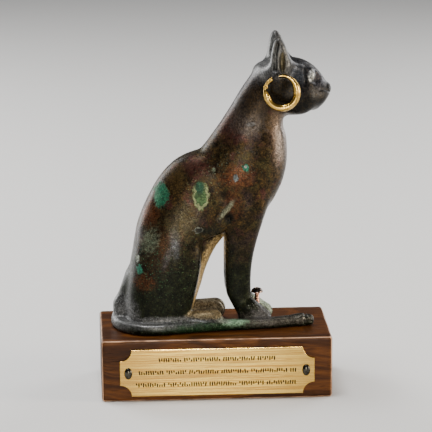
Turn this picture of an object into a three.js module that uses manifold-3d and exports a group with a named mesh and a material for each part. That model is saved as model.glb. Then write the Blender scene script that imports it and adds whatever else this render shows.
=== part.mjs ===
// A seated cat of cast bronze with one gold earring, fixed to a hardwood block by a screw.
// A notched brass plate is pinned to the front of the block.
// Millimetres, +Z up, +X the way the cat looks, +Y its left. The origin is the centre of the underside.

import * as THREE from 'three';
import { mergeVertices } from 'three/addons/utils/BufferGeometryUtils.js';
import Module from 'manifold-3d';

const wasm = await Module();
wasm.setup();

// Driving dimensions
const CAT_HEIGHT = 159.2; // from the base's top to the ear tips
const CAST_GRID = 1.25; // spacing of the samples that the bronze is drawn from
const CAT_FACES = 7450; // flat facets on the finished bronze

const BASE_LENGTH = 124;
const BASE_DEPTH = 62;
const BASE_HEIGHT = 34;
const BASE_EDGE = 1.4; // rounding of the top and bottom edges
const BASE_CORNER = 2; // radius of the upright edges

const PLAQUE_MARGIN = 9.75; // wood past each end of the plate
const PLAQUE_ABOVE = 4.95; // wood above the plate
const PLAQUE_BELOW = 3.05; // wood below it
const PLAQUE_THICKNESS = 1.25;
const PLAQUE_NOTCH = 6.2; // radius of the hollow corners
const PLAQUE_BEVEL = 0.25;

const PIN_INSET = 4.5; // from the plate's end to the middle of a pin
const PIN_HEAD_HEIGHT = 6.4; // the head is an upright oval
const PIN_HEAD_WIDTH = 4.3;
const PIN_HEAD_DOME = 1.6;
const PIN_SHANK = 2;
const PIN_DEPTH = 8; // of its hole in the wood

const SCREW_HEAD = 6.5;
const SCREW_HEAD_DOME = 2.4;
const SCREW_SHANK = 2.7;
const SCREW_STAND = 17.4; // from the base's top to the underside of the head
const SCREW_DEPTH = 14; // of the shank and its hole in the wood

const HOOP_DIAMETER = 20; // over the outside
const HOOP_BODY = 4.2; // the thick stretch of the hoop
const HOOP_WIRE = 1.3; // the thin stretch that passes through the ear

const SHANK_CLEARANCE = 0.3; // round a shank in its hole, on each side
const HOOP_CLEARANCE = 0.35; // round the hoop in the ear, on each side
const HOOP_STEPS = 40; // round the hoop
const HOOP_SIDES = 8; // of its section

// The cat is drawn on a canon of so many units to its height
const CANON = 159.2;
const UNIT = CAT_HEIGHT / CANON;

// The box that the cat is drawn in, in canon units. It is cut off flat at the base's top.
const CAT_LOW = [-59, -28, -5];
const CAT_HIGH = [66, 22, 163];

// The screw stands between the front paws
const SCREW_X = 23.6 * UNIT;

const PLAQUE_LENGTH = BASE_LENGTH - 2 * PLAQUE_MARGIN;
const PLAQUE_HEIGHT = BASE_HEIGHT - PLAQUE_ABOVE - PLAQUE_BELOW;
const PLAQUE_LEVEL = PLAQUE_BELOW + PLAQUE_HEIGHT / 2; // of its middle and of both pins
const PIN_X = PLAQUE_LENGTH / 2 - PIN_INSET;

const ROUND_SIDES = 12; // of holes, shanks and dome heads
const DOME_RINGS = 5; // from the rim of a dome head to its top
const OVERSHOOT = 1; // how far a cutting rod starts outside what it cuts

// Takes what is drawn in X and Y to X and Z, and what is along Y to along Z
const UPRIGHT = new THREE.Matrix4().set(1, 0, 0, 0, 0, 0, -1, 0, 0, 1, 0, 0, 0, 0, 0, 1);

// Blends of two distances: the two surfaces meet in a fillet about k wide
const join = (a, b, k) => Math.min(a, b) - Math.max(k - Math.abs(a - b), 0) ** 2 / (4 * k);
const carve = (a, b, k) => -join(-a, b, k);
const keep = (a, b, k) => -join(-a, -b, k);

// Distance to an ellipsoid with centre c and half sizes r
function egg(p, c, r) {
  const [x, y, z] = [p[0] - c[0], p[1] - c[1], p[2] - c[2]];
  const near = Math.hypot(x / r[0], y / r[1], z / r[2]);
  const slope = Math.hypot(x / r[0] ** 2, y / r[1] ** 2, z / r[2] ** 2);
  return near * (near - 1) / Math.max(slope, 1e-6);
}

// Distance to a round rod from a to b whose radius goes from ra to rb
function rod(p, a, b, ra, rb) {
  const d = [b[0] - a[0], b[1] - a[1], b[2] - a[2]];
  const q = [p[0] - a[0], p[1] - a[1], p[2] - a[2]];
  const along = (q[0] * d[0] + q[1] * d[1] + q[2] * d[2]) / (d[0] ** 2 + d[1] ** 2 + d[2] ** 2);
  const t = Math.min(Math.max(along, 0), 1);
  return Math.hypot(q[0] - t * d[0], q[1] - t * d[1], q[2] - t * d[2]) - ra - t * (rb - ra);
}

// A smooth curve through stations [t, value, value, ...], as a function that gives values and slopes
function smooth(stations) {
  const last = stations.length - 1;
  const chord = (i, n) => (stations[i + 1][n] - stations[i][n]) / (stations[i + 1][0] - stations[i][0]);
  const slopes = stations.map((station, i) => station.map((_, n) => {
    if (i === 0) return chord(0, n);
    if (i === last) return chord(last - 1, n);
    const before = station[0] - stations[i - 1][0];
    const after = stations[i + 1][0] - station[0];
    return (before * chord(i, n) + after * chord(i - 1, n)) / (before + after);
  }));
  return (t) => {
    let i = 0;
    while (i < last - 1 && t > stations[i + 1][0]) i += 1;
    const step = stations[i + 1][0] - stations[i][0];
    const u = Math.min(Math.max((t - stations[i][0]) / step, 0), 1);
    const values = [];
    const rates = [];
    for (let n = 1; n < stations[i].length; n += 1) {
      const [a, b] = [stations[i][n], stations[i + 1][n]];
      const [ma, mb] = [slopes[i][n] * step, slopes[i + 1][n] * step];
      values.push(a + u * (ma + u * (3 * (b - a) - 2 * ma - mb + u * (2 * (a - b) + ma + mb))));
      rates.push((ma + u * (6 * (b - a) - 4 * ma - 2 * mb + 3 * u * (2 * (a - b) + ma + mb))) / step);
    }
    return [values, rates];
  };
}

// Distance to a body whose level slices are rounded oblongs.
// Its stations are [z, back, front, half width, squareness, middle in y].
function loft(stations) {
  const curve = smooth(stations);
  let level = NaN;
  let slice = null;
  return (p) => {
    if (p[2] !== level) [level, slice] = [p[2], curve(p[2])];
    const [[back, front, half, power, middle], rate] = slice;
    const reach = (front - back) / 2;
    const u = (p[0] - (front + back) / 2) / reach;
    const v = (p[1] - middle) / half;
    const [pu, pv] = [Math.abs(u) ** (power - 1), Math.abs(v) ** (power - 1)];
    const r = Math.max((Math.abs(u) * pu + Math.abs(v) * pv) ** (1 / power), 1e-6);
    const uz = -((rate[0] + rate[1]) / 2 + u * (rate[1] - rate[0]) / 2) / reach;
    const vz = -(rate[4] + v * rate[2]) / half;
    const rise = Math.sign(u) * pu * uz + Math.sign(v) * pv * vz;
    return (r - 1) * r ** (power - 1) / Math.max(Math.hypot(pu / reach, pv / half, rise), 1e-6);
  };
}

// Distance to a strap that lies along a level path of [t, x, y, half width, half height]
function strap(stations, steps) {
  const curve = smooth(stations);
  const [start, end] = [stations[0][0], stations[stations.length - 1][0]];
  const path = [];
  for (let i = 0; i <= steps; i += 1) path.push(curve(start + (end - start) * i / steps)[0]);
  return (p, squareness) => {
    let best = [Infinity, 0, 1, 1];
    for (let i = 0; i < steps; i += 1) {
      const [a, b] = [path[i], path[i + 1]];
      const [dx, dy] = [b[0] - a[0], b[1] - a[1]];
      const along = ((p[0] - a[0]) * dx + (p[1] - a[1]) * dy) / (dx * dx + dy * dy);
      const t = Math.min(Math.max(along, 0), 1);
      const away = Math.hypot(p[0] - a[0] - t * dx, p[1] - a[1] - t * dy);
      if (away < best[0]) best = [away, a[2] + t * (b[2] - a[2]), a[3] + t * (b[3] - a[3])];
    }
    const [away, half, tall] = best;
    const r = ((away / half) ** squareness + Math.abs(p[2] / tall - 1) ** squareness) ** (1 / squareness);
    return (r - 1) * Math.min(half, tall);
  };
}

// The cat's forms, in canon units from the middle of the base's top
const haunch = loft([
  [-4, -48.6, -15, 16.5, 2.8, 0],
  [8, -48.6, -14, 18.6, 2.8, 0],
  [20, -47.6, -11.9, 19.5, 2.8, 0],
  [34, -45.4, -10.8, 19.5, 2.7, 0],
  [44, -43.6, -9, 19, 2.6, 0],
  [50, -42.6, -6.5, 18.6, 2.5, 0],
  [56, -41.5, 3, 18, 2.4, 0],
  [62, -39.5, 9, 17.2, 2.3, 0],
  [72, -35.1, 14, 16, 2.2, 0],
  [81.7, -29.6, 18, 14.5, 2.1, 0],
  [88.3, -24.1, 20, 13, 2.1, 0],
  [93.6, -17.1, 20, 11, 2, 0],
  [98.3, -5.2, 16, 7.5, 2, 0],
]);
const belly = loft([
  [-4, -40, -15, 12, 2.2, 0],
  [8.5, -40, -11.7, 12.5, 2.2, 0],
  [23, -40, -6.8, 12.5, 2.2, 0],
  [31, -38, -4.5, 12, 2.2, 0],
  [38, -36, -1.6, 11.5, 2.2, 0],
  [44, -34, 1.6, 10.5, 2.2, 0],
  [50, -32, 6.5, 10, 2.2, 0],
  [60, -30, 14, 10, 2.2, 0],
]);
const chest = loft([
  [48, 9, 16, 6.5, 2, 0],
  [54, 5, 21, 10, 2, 0],
  [62, 0, 27.5, 13, 2, 0],
  [70, -6, 33, 15, 2.1, 0],
  [80, -9, 37.7, 16, 2.1, 0],
  [90, -8, 39.8, 15.6, 2.1, 0],
  [98.3, -5.4, 40, 14.6, 2.1, 0],
  [104, -1.5, 39.5, 13.4, 2.1, 0],
  [110, 2.8, 38, 12.2, 2.1, 0],
  [116, 6.9, 38.6, 11.4, 2.1, 0],
  [124, 11.8, 42, 11.2, 2.1, 0],
  [132, 16.8, 45, 11.4, 2.1, 0],
  [139, 22.2, 46, 9.5, 2.1, 0],
]);
const foreleg = [-1, 1].map((side) => loft([
  [-4, 13.6, 21, 3.8, 2.2, 5.4 * side],
  [6, 12.6, 21, 4, 2.2, 5.4 * side],
  [12, 9.6, 20.6, 4.2, 2.2, 5.4 * side],
  [18, 6.8, 20, 4.3, 2.3, 5.4 * side],
  [26, 5.8, 19.9, 4.4, 2.3, 5.4 * side],
  [34, 5.7, 20.5, 4.6, 2.3, 5.6 * side],
  [42, 5.7, 21.8, 5, 2.3, 6 * side],
  [50, 5.9, 23.8, 5.8, 2.2, 6.7 * side],
  [58, 6.4, 26.2, 6.8, 2.2, 7.6 * side],
  [66, 8, 28.5, 7.4, 2.2, 8 * side],
  [76, 11, 30, 6, 2.2, 8 * side],
]));
const thigh = [-1, 1].map((side) => loft([
  [-4, -38, -14.2, 7, 2.4, 10.4 * side],
  [8, -38, -13.6, 7.6, 2.4, 10.8 * side],
  [16, -37, -11.8, 8, 2.4, 11 * side],
  [26, -36, -9.2, 8, 2.4, 11.3 * side],
  [36, -34, -7.6, 8, 2.4, 11.4 * side],
  [44, -32, -7, 8, 2.4, 11.2 * side],
  [49, -30, -6.2, 7.8, 2.4, 10.8 * side],
  [51, -29, -3.6, 7.6, 2.4, 10.4 * side],
  [53, -28, 4, 7, 2.3, 9.6 * side],
  [56, -26, 7.6, 7, 2.2, 9.2 * side],
  [62, -22, 9.6, 7, 2.2, 9 * side],
  [70, -16, 12, 6.4, 2.2, 9 * side],
]));
const ear = [-1, 1].map((side) => loft([
  [129, 29.5, 35.5, 3, 2.1, 11.2 * side],
  [136, 28.8, 38, 5, 2.1, 12 * side],
  [143, 29.2, 41, 5.2, 2.1, 11.8 * side],
  [146.5, 30.1, 41, 5, 2.1, 11.8 * side],
  [150.3, 30.6, 40, 4.5, 2, 12 * side],
  [154.8, 31.5, 38.5, 3.4, 2, 12.4 * side],
  [157, 32.2, 37.4, 2.6, 2, 12.7 * side],
  [159, 33.4, 36, 1.4, 2, 13 * side],
]));
const tail = strap([
  [0, -51.4, 0, 4.2, 3.6],
  [8, -50.6, -8, 3.8, 3.4],
  [16, -46.6, -14.8, 3.5, 3.2],
  [24, -40.2, -19.8, 3.3, 3],
  [32, -32, -21.3, 3.2, 3],
  [44, -20, -19.2, 3.2, 3],
  [60, -4, -15.8, 3.2, 3],
  [76, 12, -13.3, 3.2, 2.9],
  [92, 28, -11.5, 3.2, 2.9],
  [105, 41, -9.2, 3.2, 3.1],
  [112, 48, -8, 3.5, 3.4],
  [115.5, 51, -7.4, 3.1, 3],
], 60);

// How far forwards the toes of each side reach, right and left. The left side's are a little ahead.
const PAW_TOES = [26, 27.7];
const FOOT_TOES = [-1.4, 1.2];

// Where the hoop runs through the ear: its centre and level in canon units
const PIERCING = { x: 36.1, y: -16.2, z: 139.55 };

function bodyForm(p) {
  let form = join(haunch(p), keep(belly(p), p[2] - 58, 4), 3);
  form = keep(form, p[2] - 99, 4);
  form = join(form, keep(chest(p), Math.max(46 - p[2], p[2] - 141), 6), 2.5);
  if (p[2] > 90) return form;
  for (const [i, side] of [-1, 1].entries()) {
    form = join(form, keep(thigh[i](p), p[2] - 72, 6), 3);
    form = join(form, keep(foreleg[i](p), p[2] - 78, 6), 2.5);
    // the fold of skin between knee and elbow, and the pit at its lower end
    form = join(form, rod(p, [8.8, 14.2 * side, 70.3], [1.6, 14.8 * side, 60.6], 1.2, 1), 1.5);
    form = carve(form, egg(p, [7.8, 16.4 * side, 62], [1.8, 4.2, 2.6]), 0.8);
    form = join(form, rod(p, [18.5, 5.9 * side, 10.5], [PAW_TOES[i], 5.9 * side, 4.9], 5.4, 4.9), 2);
    form = join(form, rod(p, [-26, 11.5 * side, 4], [FOOT_TOES[i], 11.5 * side, 5.4], 6, 5.9), 2);
  }
  form = join(form, rod(p, [-43.5, 0, 27], [-49.2, 0, 12], 4.5, 5), 5);
  form = join(form, rod(p, [-49.2, 0, 12], [-51, -2, 3], 5, 4.6), 3);
  if (p[2] < 14) form = join(form, tail(p, 3), 2);
  return Math.max(form, -2 - p[2]);
}

function headForm(p) {
  // the skull and its back, then the muzzle and the chin
  let form = egg(p, [40, 0, 131], [19.5, 13.6, 15.9]);
  form = join(form, egg(p, [29.2, 0, 139.4], [7, 13, 5.2]), 3);
  form = join(form, rod(p, [50, 0, 132.4], [60.8, 0, 130], 8.2, 2.9), 4);
  form = join(form, rod(p, [59.2, 0, 127.4], [54, 0, 121.8], 3.4, 4.2), 3);
  for (const [i, side] of [-1, 1].entries()) {
    // the jowl and the whisker pad, then the eye in its socket
    form = join(form, egg(p, [46, 8 * side, 125.5], [9, 5.6, 8]), 5);
    form = join(form, egg(p, [55.4, 3.8 * side, 126.2], [5, 4.4, 5.2]), 4.5);
    form = carve(form, egg(p, [55.4, 9.4 * side, 137.2], [2.9, 3.4, 3]), 2);
    form = join(form, egg(p, [51.9, 6.9 * side, 137.9], [2.9, 3.5, 3.5]), 1);
    // the ear on its own side of the head, the rise before it, its slit, its hollow and its lobe
    const room = Math.max(130 - p[2], p[2] - CANON, 1 - side * p[1]);
    form = join(form, keep(ear[i](p), room, 1.5), 5);
    form = join(form, rod(p, [39, 10.4 * side, 145], [45, 7.6 * side, 141.8], 2.4, 1.4), 4);
    form = carve(form, rod(p, [34, 14.6 * side, 156.4], [32.8, 15 * side, 151], 0.8, 1), 0.8);
    form = carve(form, rod(p, [32.8, 15 * side, 151], [32.5, 16 * side, 142], 1, 1.1), 0.8);
    form = carve(form, egg(p, [36.2, 17 * side, 146.8], [1.8, 3.4, 5.6]), 0.8);
    form = join(form, egg(p, [32.9, 15.2 * side, 138.4], [2.6, 3.4, 3.8]), 1);
  }
  return form;
}

function catForm(x, y, z) {
  const p = [x, y, z];
  if (z < 106) return bodyForm(p);
  return join(bodyForm(p), headForm(p), 3);
}

// A closed mesh of positions and triangles, turned into a solid for joining and cutting
function solidOf(positions, triangles) {
  return new wasm.Manifold(new wasm.Mesh({
    numProp: 3,
    vertProperties: new Float32Array(positions),
    triVerts: new Uint32Array(triangles),
  }));
}

function solidOfGeometry(geometry) {
  geometry.deleteAttribute('normal');
  geometry.deleteAttribute('uv');
  const merged = mergeVertices(geometry, 1e-4);
  return solidOf(merged.attributes.position.array, merged.index.array);
}

function geometryOf(solid) {
  const mesh = solid.getMesh();
  const geometry = new THREE.BufferGeometry();
  geometry.setAttribute('position', new THREE.BufferAttribute(mesh.vertProperties, 3));
  geometry.setIndex(new THREE.BufferAttribute(mesh.triVerts, 1));
  return geometry;
}

// Samples of a form on a grid. Blocks that lie well clear of the surface get one value each.
function sample(form, low, count, grid) {
  const block = 4;
  const strides = [1, count[0], count[0] * count[1]];
  const field = new Float32Array(count[0] * count[1] * count[2]);
  const span = (start, n) => Math.min(start + block, count[n]);
  for (let k = 0; k < count[2]; k += block) {
    for (let j = 0; j < count[1]; j += block) {
      for (let i = 0; i < count[0]; i += block) {
        const middle = [i, j, k].map((v, n) => low[n] + (v + (block - 1) / 2) * grid);
        const far = form(...middle);
        const clear = Math.abs(far) > 2 * block * grid;
        for (let c = k; c < span(k, 2); c += 1) {
          for (let b = j; b < span(j, 1); b += 1) {
            for (let a = i; a < span(i, 0); a += 1) {
              field[a + b * strides[1] + c * strides[2]] = clear ? far
                : form(low[0] + a * grid, low[1] + b * grid, low[2] + c * grid);
            }
          }
        }
      }
    }
  }
  return { field, strides };
}

const CORNERS = Array.from({ length: 8 }, (_, c) => [c & 1, (c >> 1) & 1, c >> 2]);

// Whether the surface passes through a cell of these inside corners, given as bits, in one plain
// sheet: the inside corners hang together, the outside ones too, and no side is a checkerboard
function plainCell(inside) {
  const together = (bits) => {
    let reached = bits & -bits;
    for (let round = 0; round < 7; round += 1) {
      for (let c = 0; c < 8; c += 1) {
        if (!(reached >> c & 1)) continue;
        for (const step of [1, 2, 4]) reached |= (1 << (c ^ step)) & bits;
      }
    }
    return reached === bits;
  };
  for (const step of [1, 2, 4]) {
    const [u, v] = [1, 2, 4].filter((other) => other !== step);
    for (const c of [0, step]) {
      const [a, b, d, e] = [c, c | u, c | v, c | u | v].map((corner) => inside >> corner & 1);
      if (a === e && b === d && a !== b) return false;
    }
  }
  return together(inside) && together(~inside & 255);
}

const FAINT_INSIDE = -0.1; // the value of a sample that is filled in

// Fills in the faintest outside sample of each cell that isn't plain, until all of them are
function settleSigns({ field, strides }, count) {
  const plain = Array.from({ length: 256 }, (_, inside) => !inside || inside === 255 || plainCell(inside));
  const offsets = CORNERS.map(([a, b, c]) => a + b * strides[1] + c * strides[2]);
  for (let turned = 1; turned > 0;) {
    turned = 0;
    for (let k = 0; k < count[2] - 1; k += 1) {
      for (let j = 0; j < count[1] - 1; j += 1) {
        for (let i = 0; i < count[0] - 1; i += 1) {
          const here = i + j * strides[1] + k * strides[2];
          let inside = 0;
          for (let c = 0; c < 8; c += 1) if (field[here + offsets[c]] < 0) inside |= 1 << c;
          if (plain[inside]) continue;
          const outside = offsets.map((offset) => here + offset).filter((s) => field[s] >= 0);
          field[outside.reduce((a, b) => (field[b] < field[a] ? b : a))] = FAINT_INSIDE;
          turned += 1;
        }
      }
    }
  }
}

// The skin of a form: one vertex in each cell of a grid that the surface crosses, moved onto
// the surface, and one four-sided face round each edge of the grid that it crosses
function skin(form, low, high, grid) {
  const count = low.map((v, i) => Math.ceil((high[i] - v) / grid) + 1);
  const samples = sample(form, low, count, grid);
  settleSigns(samples, count);
  const { field, strides } = samples;
  const at = (i, j, k) => i + j * strides[1] + k * strides[2];
  const edges = [];
  for (let a = 0; a < 8; a += 1) {
    for (const bit of [1, 2, 4]) if (!(a & bit)) edges.push([a, a | bit]);
  }
  const positions = [];
  const vertexAt = new Map();
  for (let k = 0; k < count[2] - 1; k += 1) {
    for (let j = 0; j < count[1] - 1; j += 1) {
      for (let i = 0; i < count[0] - 1; i += 1) {
        const values = CORNERS.map(([a, b, c]) => field[at(i + a, j + b, k + c)]);
        const sum = [0, 0, 0, 0];
        for (const [a, b] of edges) {
          if ((values[a] < 0) === (values[b] < 0)) continue;
          const t = values[a] / (values[a] - values[b]);
          for (let n = 0; n < 3; n += 1) sum[n] += CORNERS[a][n] + t * (CORNERS[b][n] - CORNERS[a][n]);
          sum[3] += 1;
        }
        if (sum[3] === 0) continue;
        const point = [i, j, k].map((v, n) => low[n] + (v + sum[n] / sum[3]) * grid);
        vertexAt.set(at(i, j, k), positions.length / 3);
        positions.push(...settle(form, point, grid));
      }
    }
  }
  const triangles = [];
  for (let k = 1; k < count[2] - 1; k += 1) {
    for (let j = 1; j < count[1] - 1; j += 1) {
      for (let i = 1; i < count[0] - 1; i += 1) {
        const here = at(i, j, k);
        for (let n = 0; n < 3; n += 1) {
          if ((field[here] < 0) === (field[here + strides[n]] < 0)) continue;
          const [u, v] = [strides[(n + 1) % 3], strides[(n + 2) % 3]];
          const ring = [here - u - v, here - v, here, here - u].map((cell) => vertexAt.get(cell));
          if (field[here] >= 0) ring.reverse();
          triangles.push(ring[0], ring[1], ring[2], ring[0], ring[2], ring[3]);
        }
      }
    }
  }
  return { positions, triangles };
}

// Moves a point onto the surface along the slope of the form, by no more than half the grid
function settle(form, point, grid) {
  const nudge = grid * 0.02;
  let p = point;
  for (let round = 0; round < 2; round += 1) {
    const value = form(...p);
    const slope = [0, 1, 2].map((n) => {
      const q = [...p];
      q[n] += nudge;
      return (form(...q) - value) / nudge;
    });
    const square = slope[0] ** 2 + slope[1] ** 2 + slope[2] ** 2;
    p = p.map((v, n) => {
      const moved = v - value * slope[n] / Math.max(square, 0.05);
      return Math.min(Math.max(moved, point[n] - grid / 2), point[n] + grid / 2);
    });
  }
  return p;
}

// Takes facets off a closed mesh, where they tell least, until it has the number wanted. Each
// vertex carries the planes of its faces, and an edge closes up at the place nearest them all.
function thin(mesh, wanted) {
  const vertices = [];
  for (let i = 0; i < mesh.positions.length; i += 3) {
    vertices.push({ at: mesh.positions.slice(i, i + 3), planes: new Float64Array(10), faces: new Set() });
  }
  const faces = [];
  for (let i = 0; i < mesh.triangles.length; i += 3) faces.push(mesh.triangles.slice(i, i + 3));
  const normalOf = (a, b, c) => {
    const [u, v] = [[b[0] - a[0], b[1] - a[1], b[2] - a[2]], [c[0] - a[0], c[1] - a[1], c[2] - a[2]]];
    return [u[1] * v[2] - u[2] * v[1], u[2] * v[0] - u[0] * v[2], u[0] * v[1] - u[1] * v[0]];
  };
  faces.forEach((face, f) => {
    const [a, b, c] = face.map((v) => vertices[v].at);
    const n = normalOf(a, b, c);
    const area = Math.hypot(...n) || 1e-12;
    const plane = [...n.map((v) => v / area), 0];
    plane[3] = -(plane[0] * a[0] + plane[1] * a[1] + plane[2] * a[2]);
    for (const v of face) {
      vertices[v].faces.add(f);
      let slot = 0;
      for (let i = 0; i < 4; i += 1) {
        for (let j = i; j < 4; j += 1) vertices[v].planes[slot++] += area * plane[i] * plane[j];
      }
    }
  });
  const cost = (q, [x, y, z]) => q[0] * x * x + q[4] * y * y + q[7] * z * z + q[9]
    + 2 * (q[1] * x * y + q[2] * x * z + q[3] * x + q[5] * y * z + q[6] * y + q[8] * z);
  const neighbours = (v) => {
    const found = new Set();
    for (const f of vertices[v].faces) for (const w of faces[f]) if (w !== v) found.add(w);
    return found;
  };
  const plan = (a, b) => {
    const q = vertices[a].planes.map((v, i) => v + vertices[b].planes[i]);
    const [pa, pb] = [vertices[a].at, vertices[b].at];
    const middle = pa.map((v, i) => (v + pb[i]) / 2);
    const length = Math.hypot(pa[0] - pb[0], pa[1] - pb[1], pa[2] - pb[2]);
    // a little pull towards the middle keeps flat stretches even
    const pull = 1e-3 * (q[0] + q[4] + q[7]) + 1e-9;
    const m = [[q[0] + pull, q[1], q[2]], [q[1], q[4] + pull, q[5]], [q[2], q[5], q[7] + pull]];
    const r = [0, 1, 2].map((i) => pull * middle[i] - q[[3, 6, 8][i]]);
    const det = (s) => s[0][0] * (s[1][1] * s[2][2] - s[1][2] * s[2][1])
      - s[0][1] * (s[1][0] * s[2][2] - s[1][2] * s[2][0]) + s[0][2] * (s[1][0] * s[2][1] - s[1][1] * s[2][0]);
    const whole = det(m);
    let at = [0, 1, 2].map((n) => det(m.map((row, i) => row.map((v, j) => (j === n ? r[i] : v)))) / whole);
    if (!(Math.hypot(at[0] - middle[0], at[1] - middle[1], at[2] - middle[2]) < length)) at = middle;
    return { a, b, q, at, cost: Math.max(cost(q, at), 0) + 1e-3 * length ** 2 };
  };
  const heap = [];
  const push = (item) => {
    let i = heap.push(item) - 1;
    while (i > 0 && heap[(i - 1) >> 1].cost > item.cost) {
      heap[i] = heap[(i - 1) >> 1];
      i = (i - 1) >> 1;
    }
    heap[i] = item;
  };
  const pop = () => {
    const top = heap[0];
    const item = heap.pop();
    if (heap.length === 0) return top;
    let i = 0;
    for (;;) {
      let child = 2 * i + 1;
      if (child >= heap.length) break;
      if (child + 1 < heap.length && heap[child + 1].cost < heap[child].cost) child += 1;
      if (heap[child].cost >= item.cost) break;
      heap[i] = heap[child];
      i = child;
    }
    heap[i] = item;
    return top;
  };
  const stamp = new Uint32Array(vertices.length);
  const queue = (a, b) => {
    const item = plan(a, b);
    item.stamps = [stamp[a], stamp[b]];
    push(item);
  };
  for (let v = 0; v < vertices.length; v += 1) for (const w of neighbours(v)) if (w > v) queue(v, w);
  let left = faces.length;
  while (left > wanted && heap.length > 0) {
    const { a, b, q, at, stamps } = pop();
    if (stamps[0] !== stamp[a] || stamps[1] !== stamp[b]) continue;
    const shared = [...vertices[a].faces].filter((f) => vertices[b].faces.has(f));
    const around = neighbours(b);
    if (shared.length !== 2 || [...neighbours(a)].filter((v) => around.has(v)).length !== 2) continue;
    const turns = [a, b].some((v) => [...vertices[v].faces].some((f) => {
      if (shared.includes(f)) return false;
      const before = normalOf(...faces[f].map((w) => vertices[w].at));
      const after = normalOf(...faces[f].map((w) => (w === v ? at : vertices[w].at)));
      const dot = before[0] * after[0] + before[1] * after[1] + before[2] * after[2];
      return dot < 0.3 * Math.hypot(...before) * Math.hypot(...after);
    }));
    if (turns) continue;
    for (const f of shared) {
      for (const v of faces[f]) vertices[v].faces.delete(f);
      faces[f] = null;
      left -= 1;
    }
    for (const f of vertices[b].faces) {
      faces[f] = faces[f].map((v) => (v === b ? a : v));
      vertices[a].faces.add(f);
    }
    Object.assign(vertices[a], { at, planes: q });
    stamp[b] = 0xffffffff;
    stamp[a] += 1;
    const ring = neighbours(a);
    for (const v of ring) queue(a, v);
  }
  const numbers = new Map();
  const positions = [];
  const triangles = faces.filter(Boolean).flat().map((v) => {
    if (!numbers.has(v)) {
      numbers.set(v, positions.length / 3);
      positions.push(...vertices[v].at);
    }
    return numbers.get(v);
  });
  return { positions, triangles };
}

// A tube round a closed level curve: rows of one ring each, joined up in both directions
function ringSolid(rows) {
  const [m, n] = [rows.length, rows[0].length];
  const triangles = [];
  for (let i = 0; i < m; i += 1) {
    for (let j = 0; j < n; j += 1) {
      const [a, b] = [i * n + j, i * n + (j + 1) % n];
      const [c, d] = [((i + 1) % m) * n + j, ((i + 1) % m) * n + (j + 1) % n];
      triangles.push(a, c, b, b, c, d);
    }
  }
  return solidOf(rows.flat(2), triangles);
}

// Radius of the hoop's section at each angle: the body swells to one side and tapers to the wire
const BODY_START = -3.35; // where the body springs bluntly from the wire, in radians
const BODY_END = 1.45; // where it has run out into the wire again
function hoopRadius(angle) {
  const t = (angle - BODY_START) / (BODY_END - BODY_START);
  const wire = HOOP_WIRE / 2;
  if (t <= 0 || t >= 1) return wire;
  const blunt = Math.min(t / 0.08, 1) ** 0.5;
  const taper = Math.sin(Math.PI / 2 * Math.min((1 - t) / 0.3, 1)) ** 1.8;
  return wire + (HOOP_BODY / 2 - wire) * blunt * taper * (0.85 + 0.15 * Math.min(t / 0.7, 1));
}

// The hoop stands upright beside the head. Its outside is a true circle; grow widens the tube.
function hoop(grow) {
  const outer = HOOP_DIAMETER / 2;
  const middle = [PIERCING.x * UNIT, PIERCING.y * UNIT, PIERCING.z * UNIT - outer + HOOP_WIRE / 2];
  const rows = [];
  for (let i = 0; i < HOOP_STEPS; i += 1) {
    const angle = Math.PI * (0.5 - 2 * i / HOOP_STEPS);
    const body = hoopRadius(angle);
    const reach = outer - body;
    rows.push(Array.from({ length: HOOP_SIDES }, (_, j) => {
      const turn = Math.PI * 2 * (j + 0.5) / HOOP_SIDES;
      const r = reach + (body + grow) * Math.cos(turn);
      return [middle[0] + r * Math.cos(angle), middle[1] + (body + grow) * Math.sin(turn),
        middle[2] + r * Math.sin(angle)];
    }));
  }
  return ringSolid(rows);
}

// A round rod along Z from one level to another
function bore(radius, from, to) {
  const geometry = new THREE.CylinderGeometry(radius, radius, to - from, ROUND_SIDES);
  return solidOfGeometry(geometry.applyMatrix4(UPRIGHT).translate(0, 0, (from + to) / 2));
}

function catGeometry() {
  const cast = thin(skin(catForm, CAT_LOW, CAT_HIGH, CAST_GRID / UNIT), CAT_FACES);
  let solid = solidOf(cast.positions.map((v) => v * UNIT), cast.triangles);
  const slab = 2 * (CAT_HIGH[0] - CAT_LOW[0]) * UNIT;
  const under = new THREE.BoxGeometry(slab, slab, slab).translate(0, 0, -slab / 2);
  solid = solid.subtract(solidOfGeometry(under));
  solid = solid.subtract(hoop(HOOP_CLEARANCE));
  const shankHole = bore(SCREW_SHANK / 2 + SHANK_CLEARANCE, -OVERSHOOT, SCREW_STAND);
  const headTop = SCREW_STAND + SCREW_HEAD_DOME;
  const headRoom = bore(SCREW_HEAD / 2 + SHANK_CLEARANCE, SCREW_STAND - SHANK_CLEARANCE,
    headTop + SHANK_CLEARANCE);
  return geometryOf(solid.subtract(shankHole.add(headRoom).translate([SCREW_X, 0, 0])));
}

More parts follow.
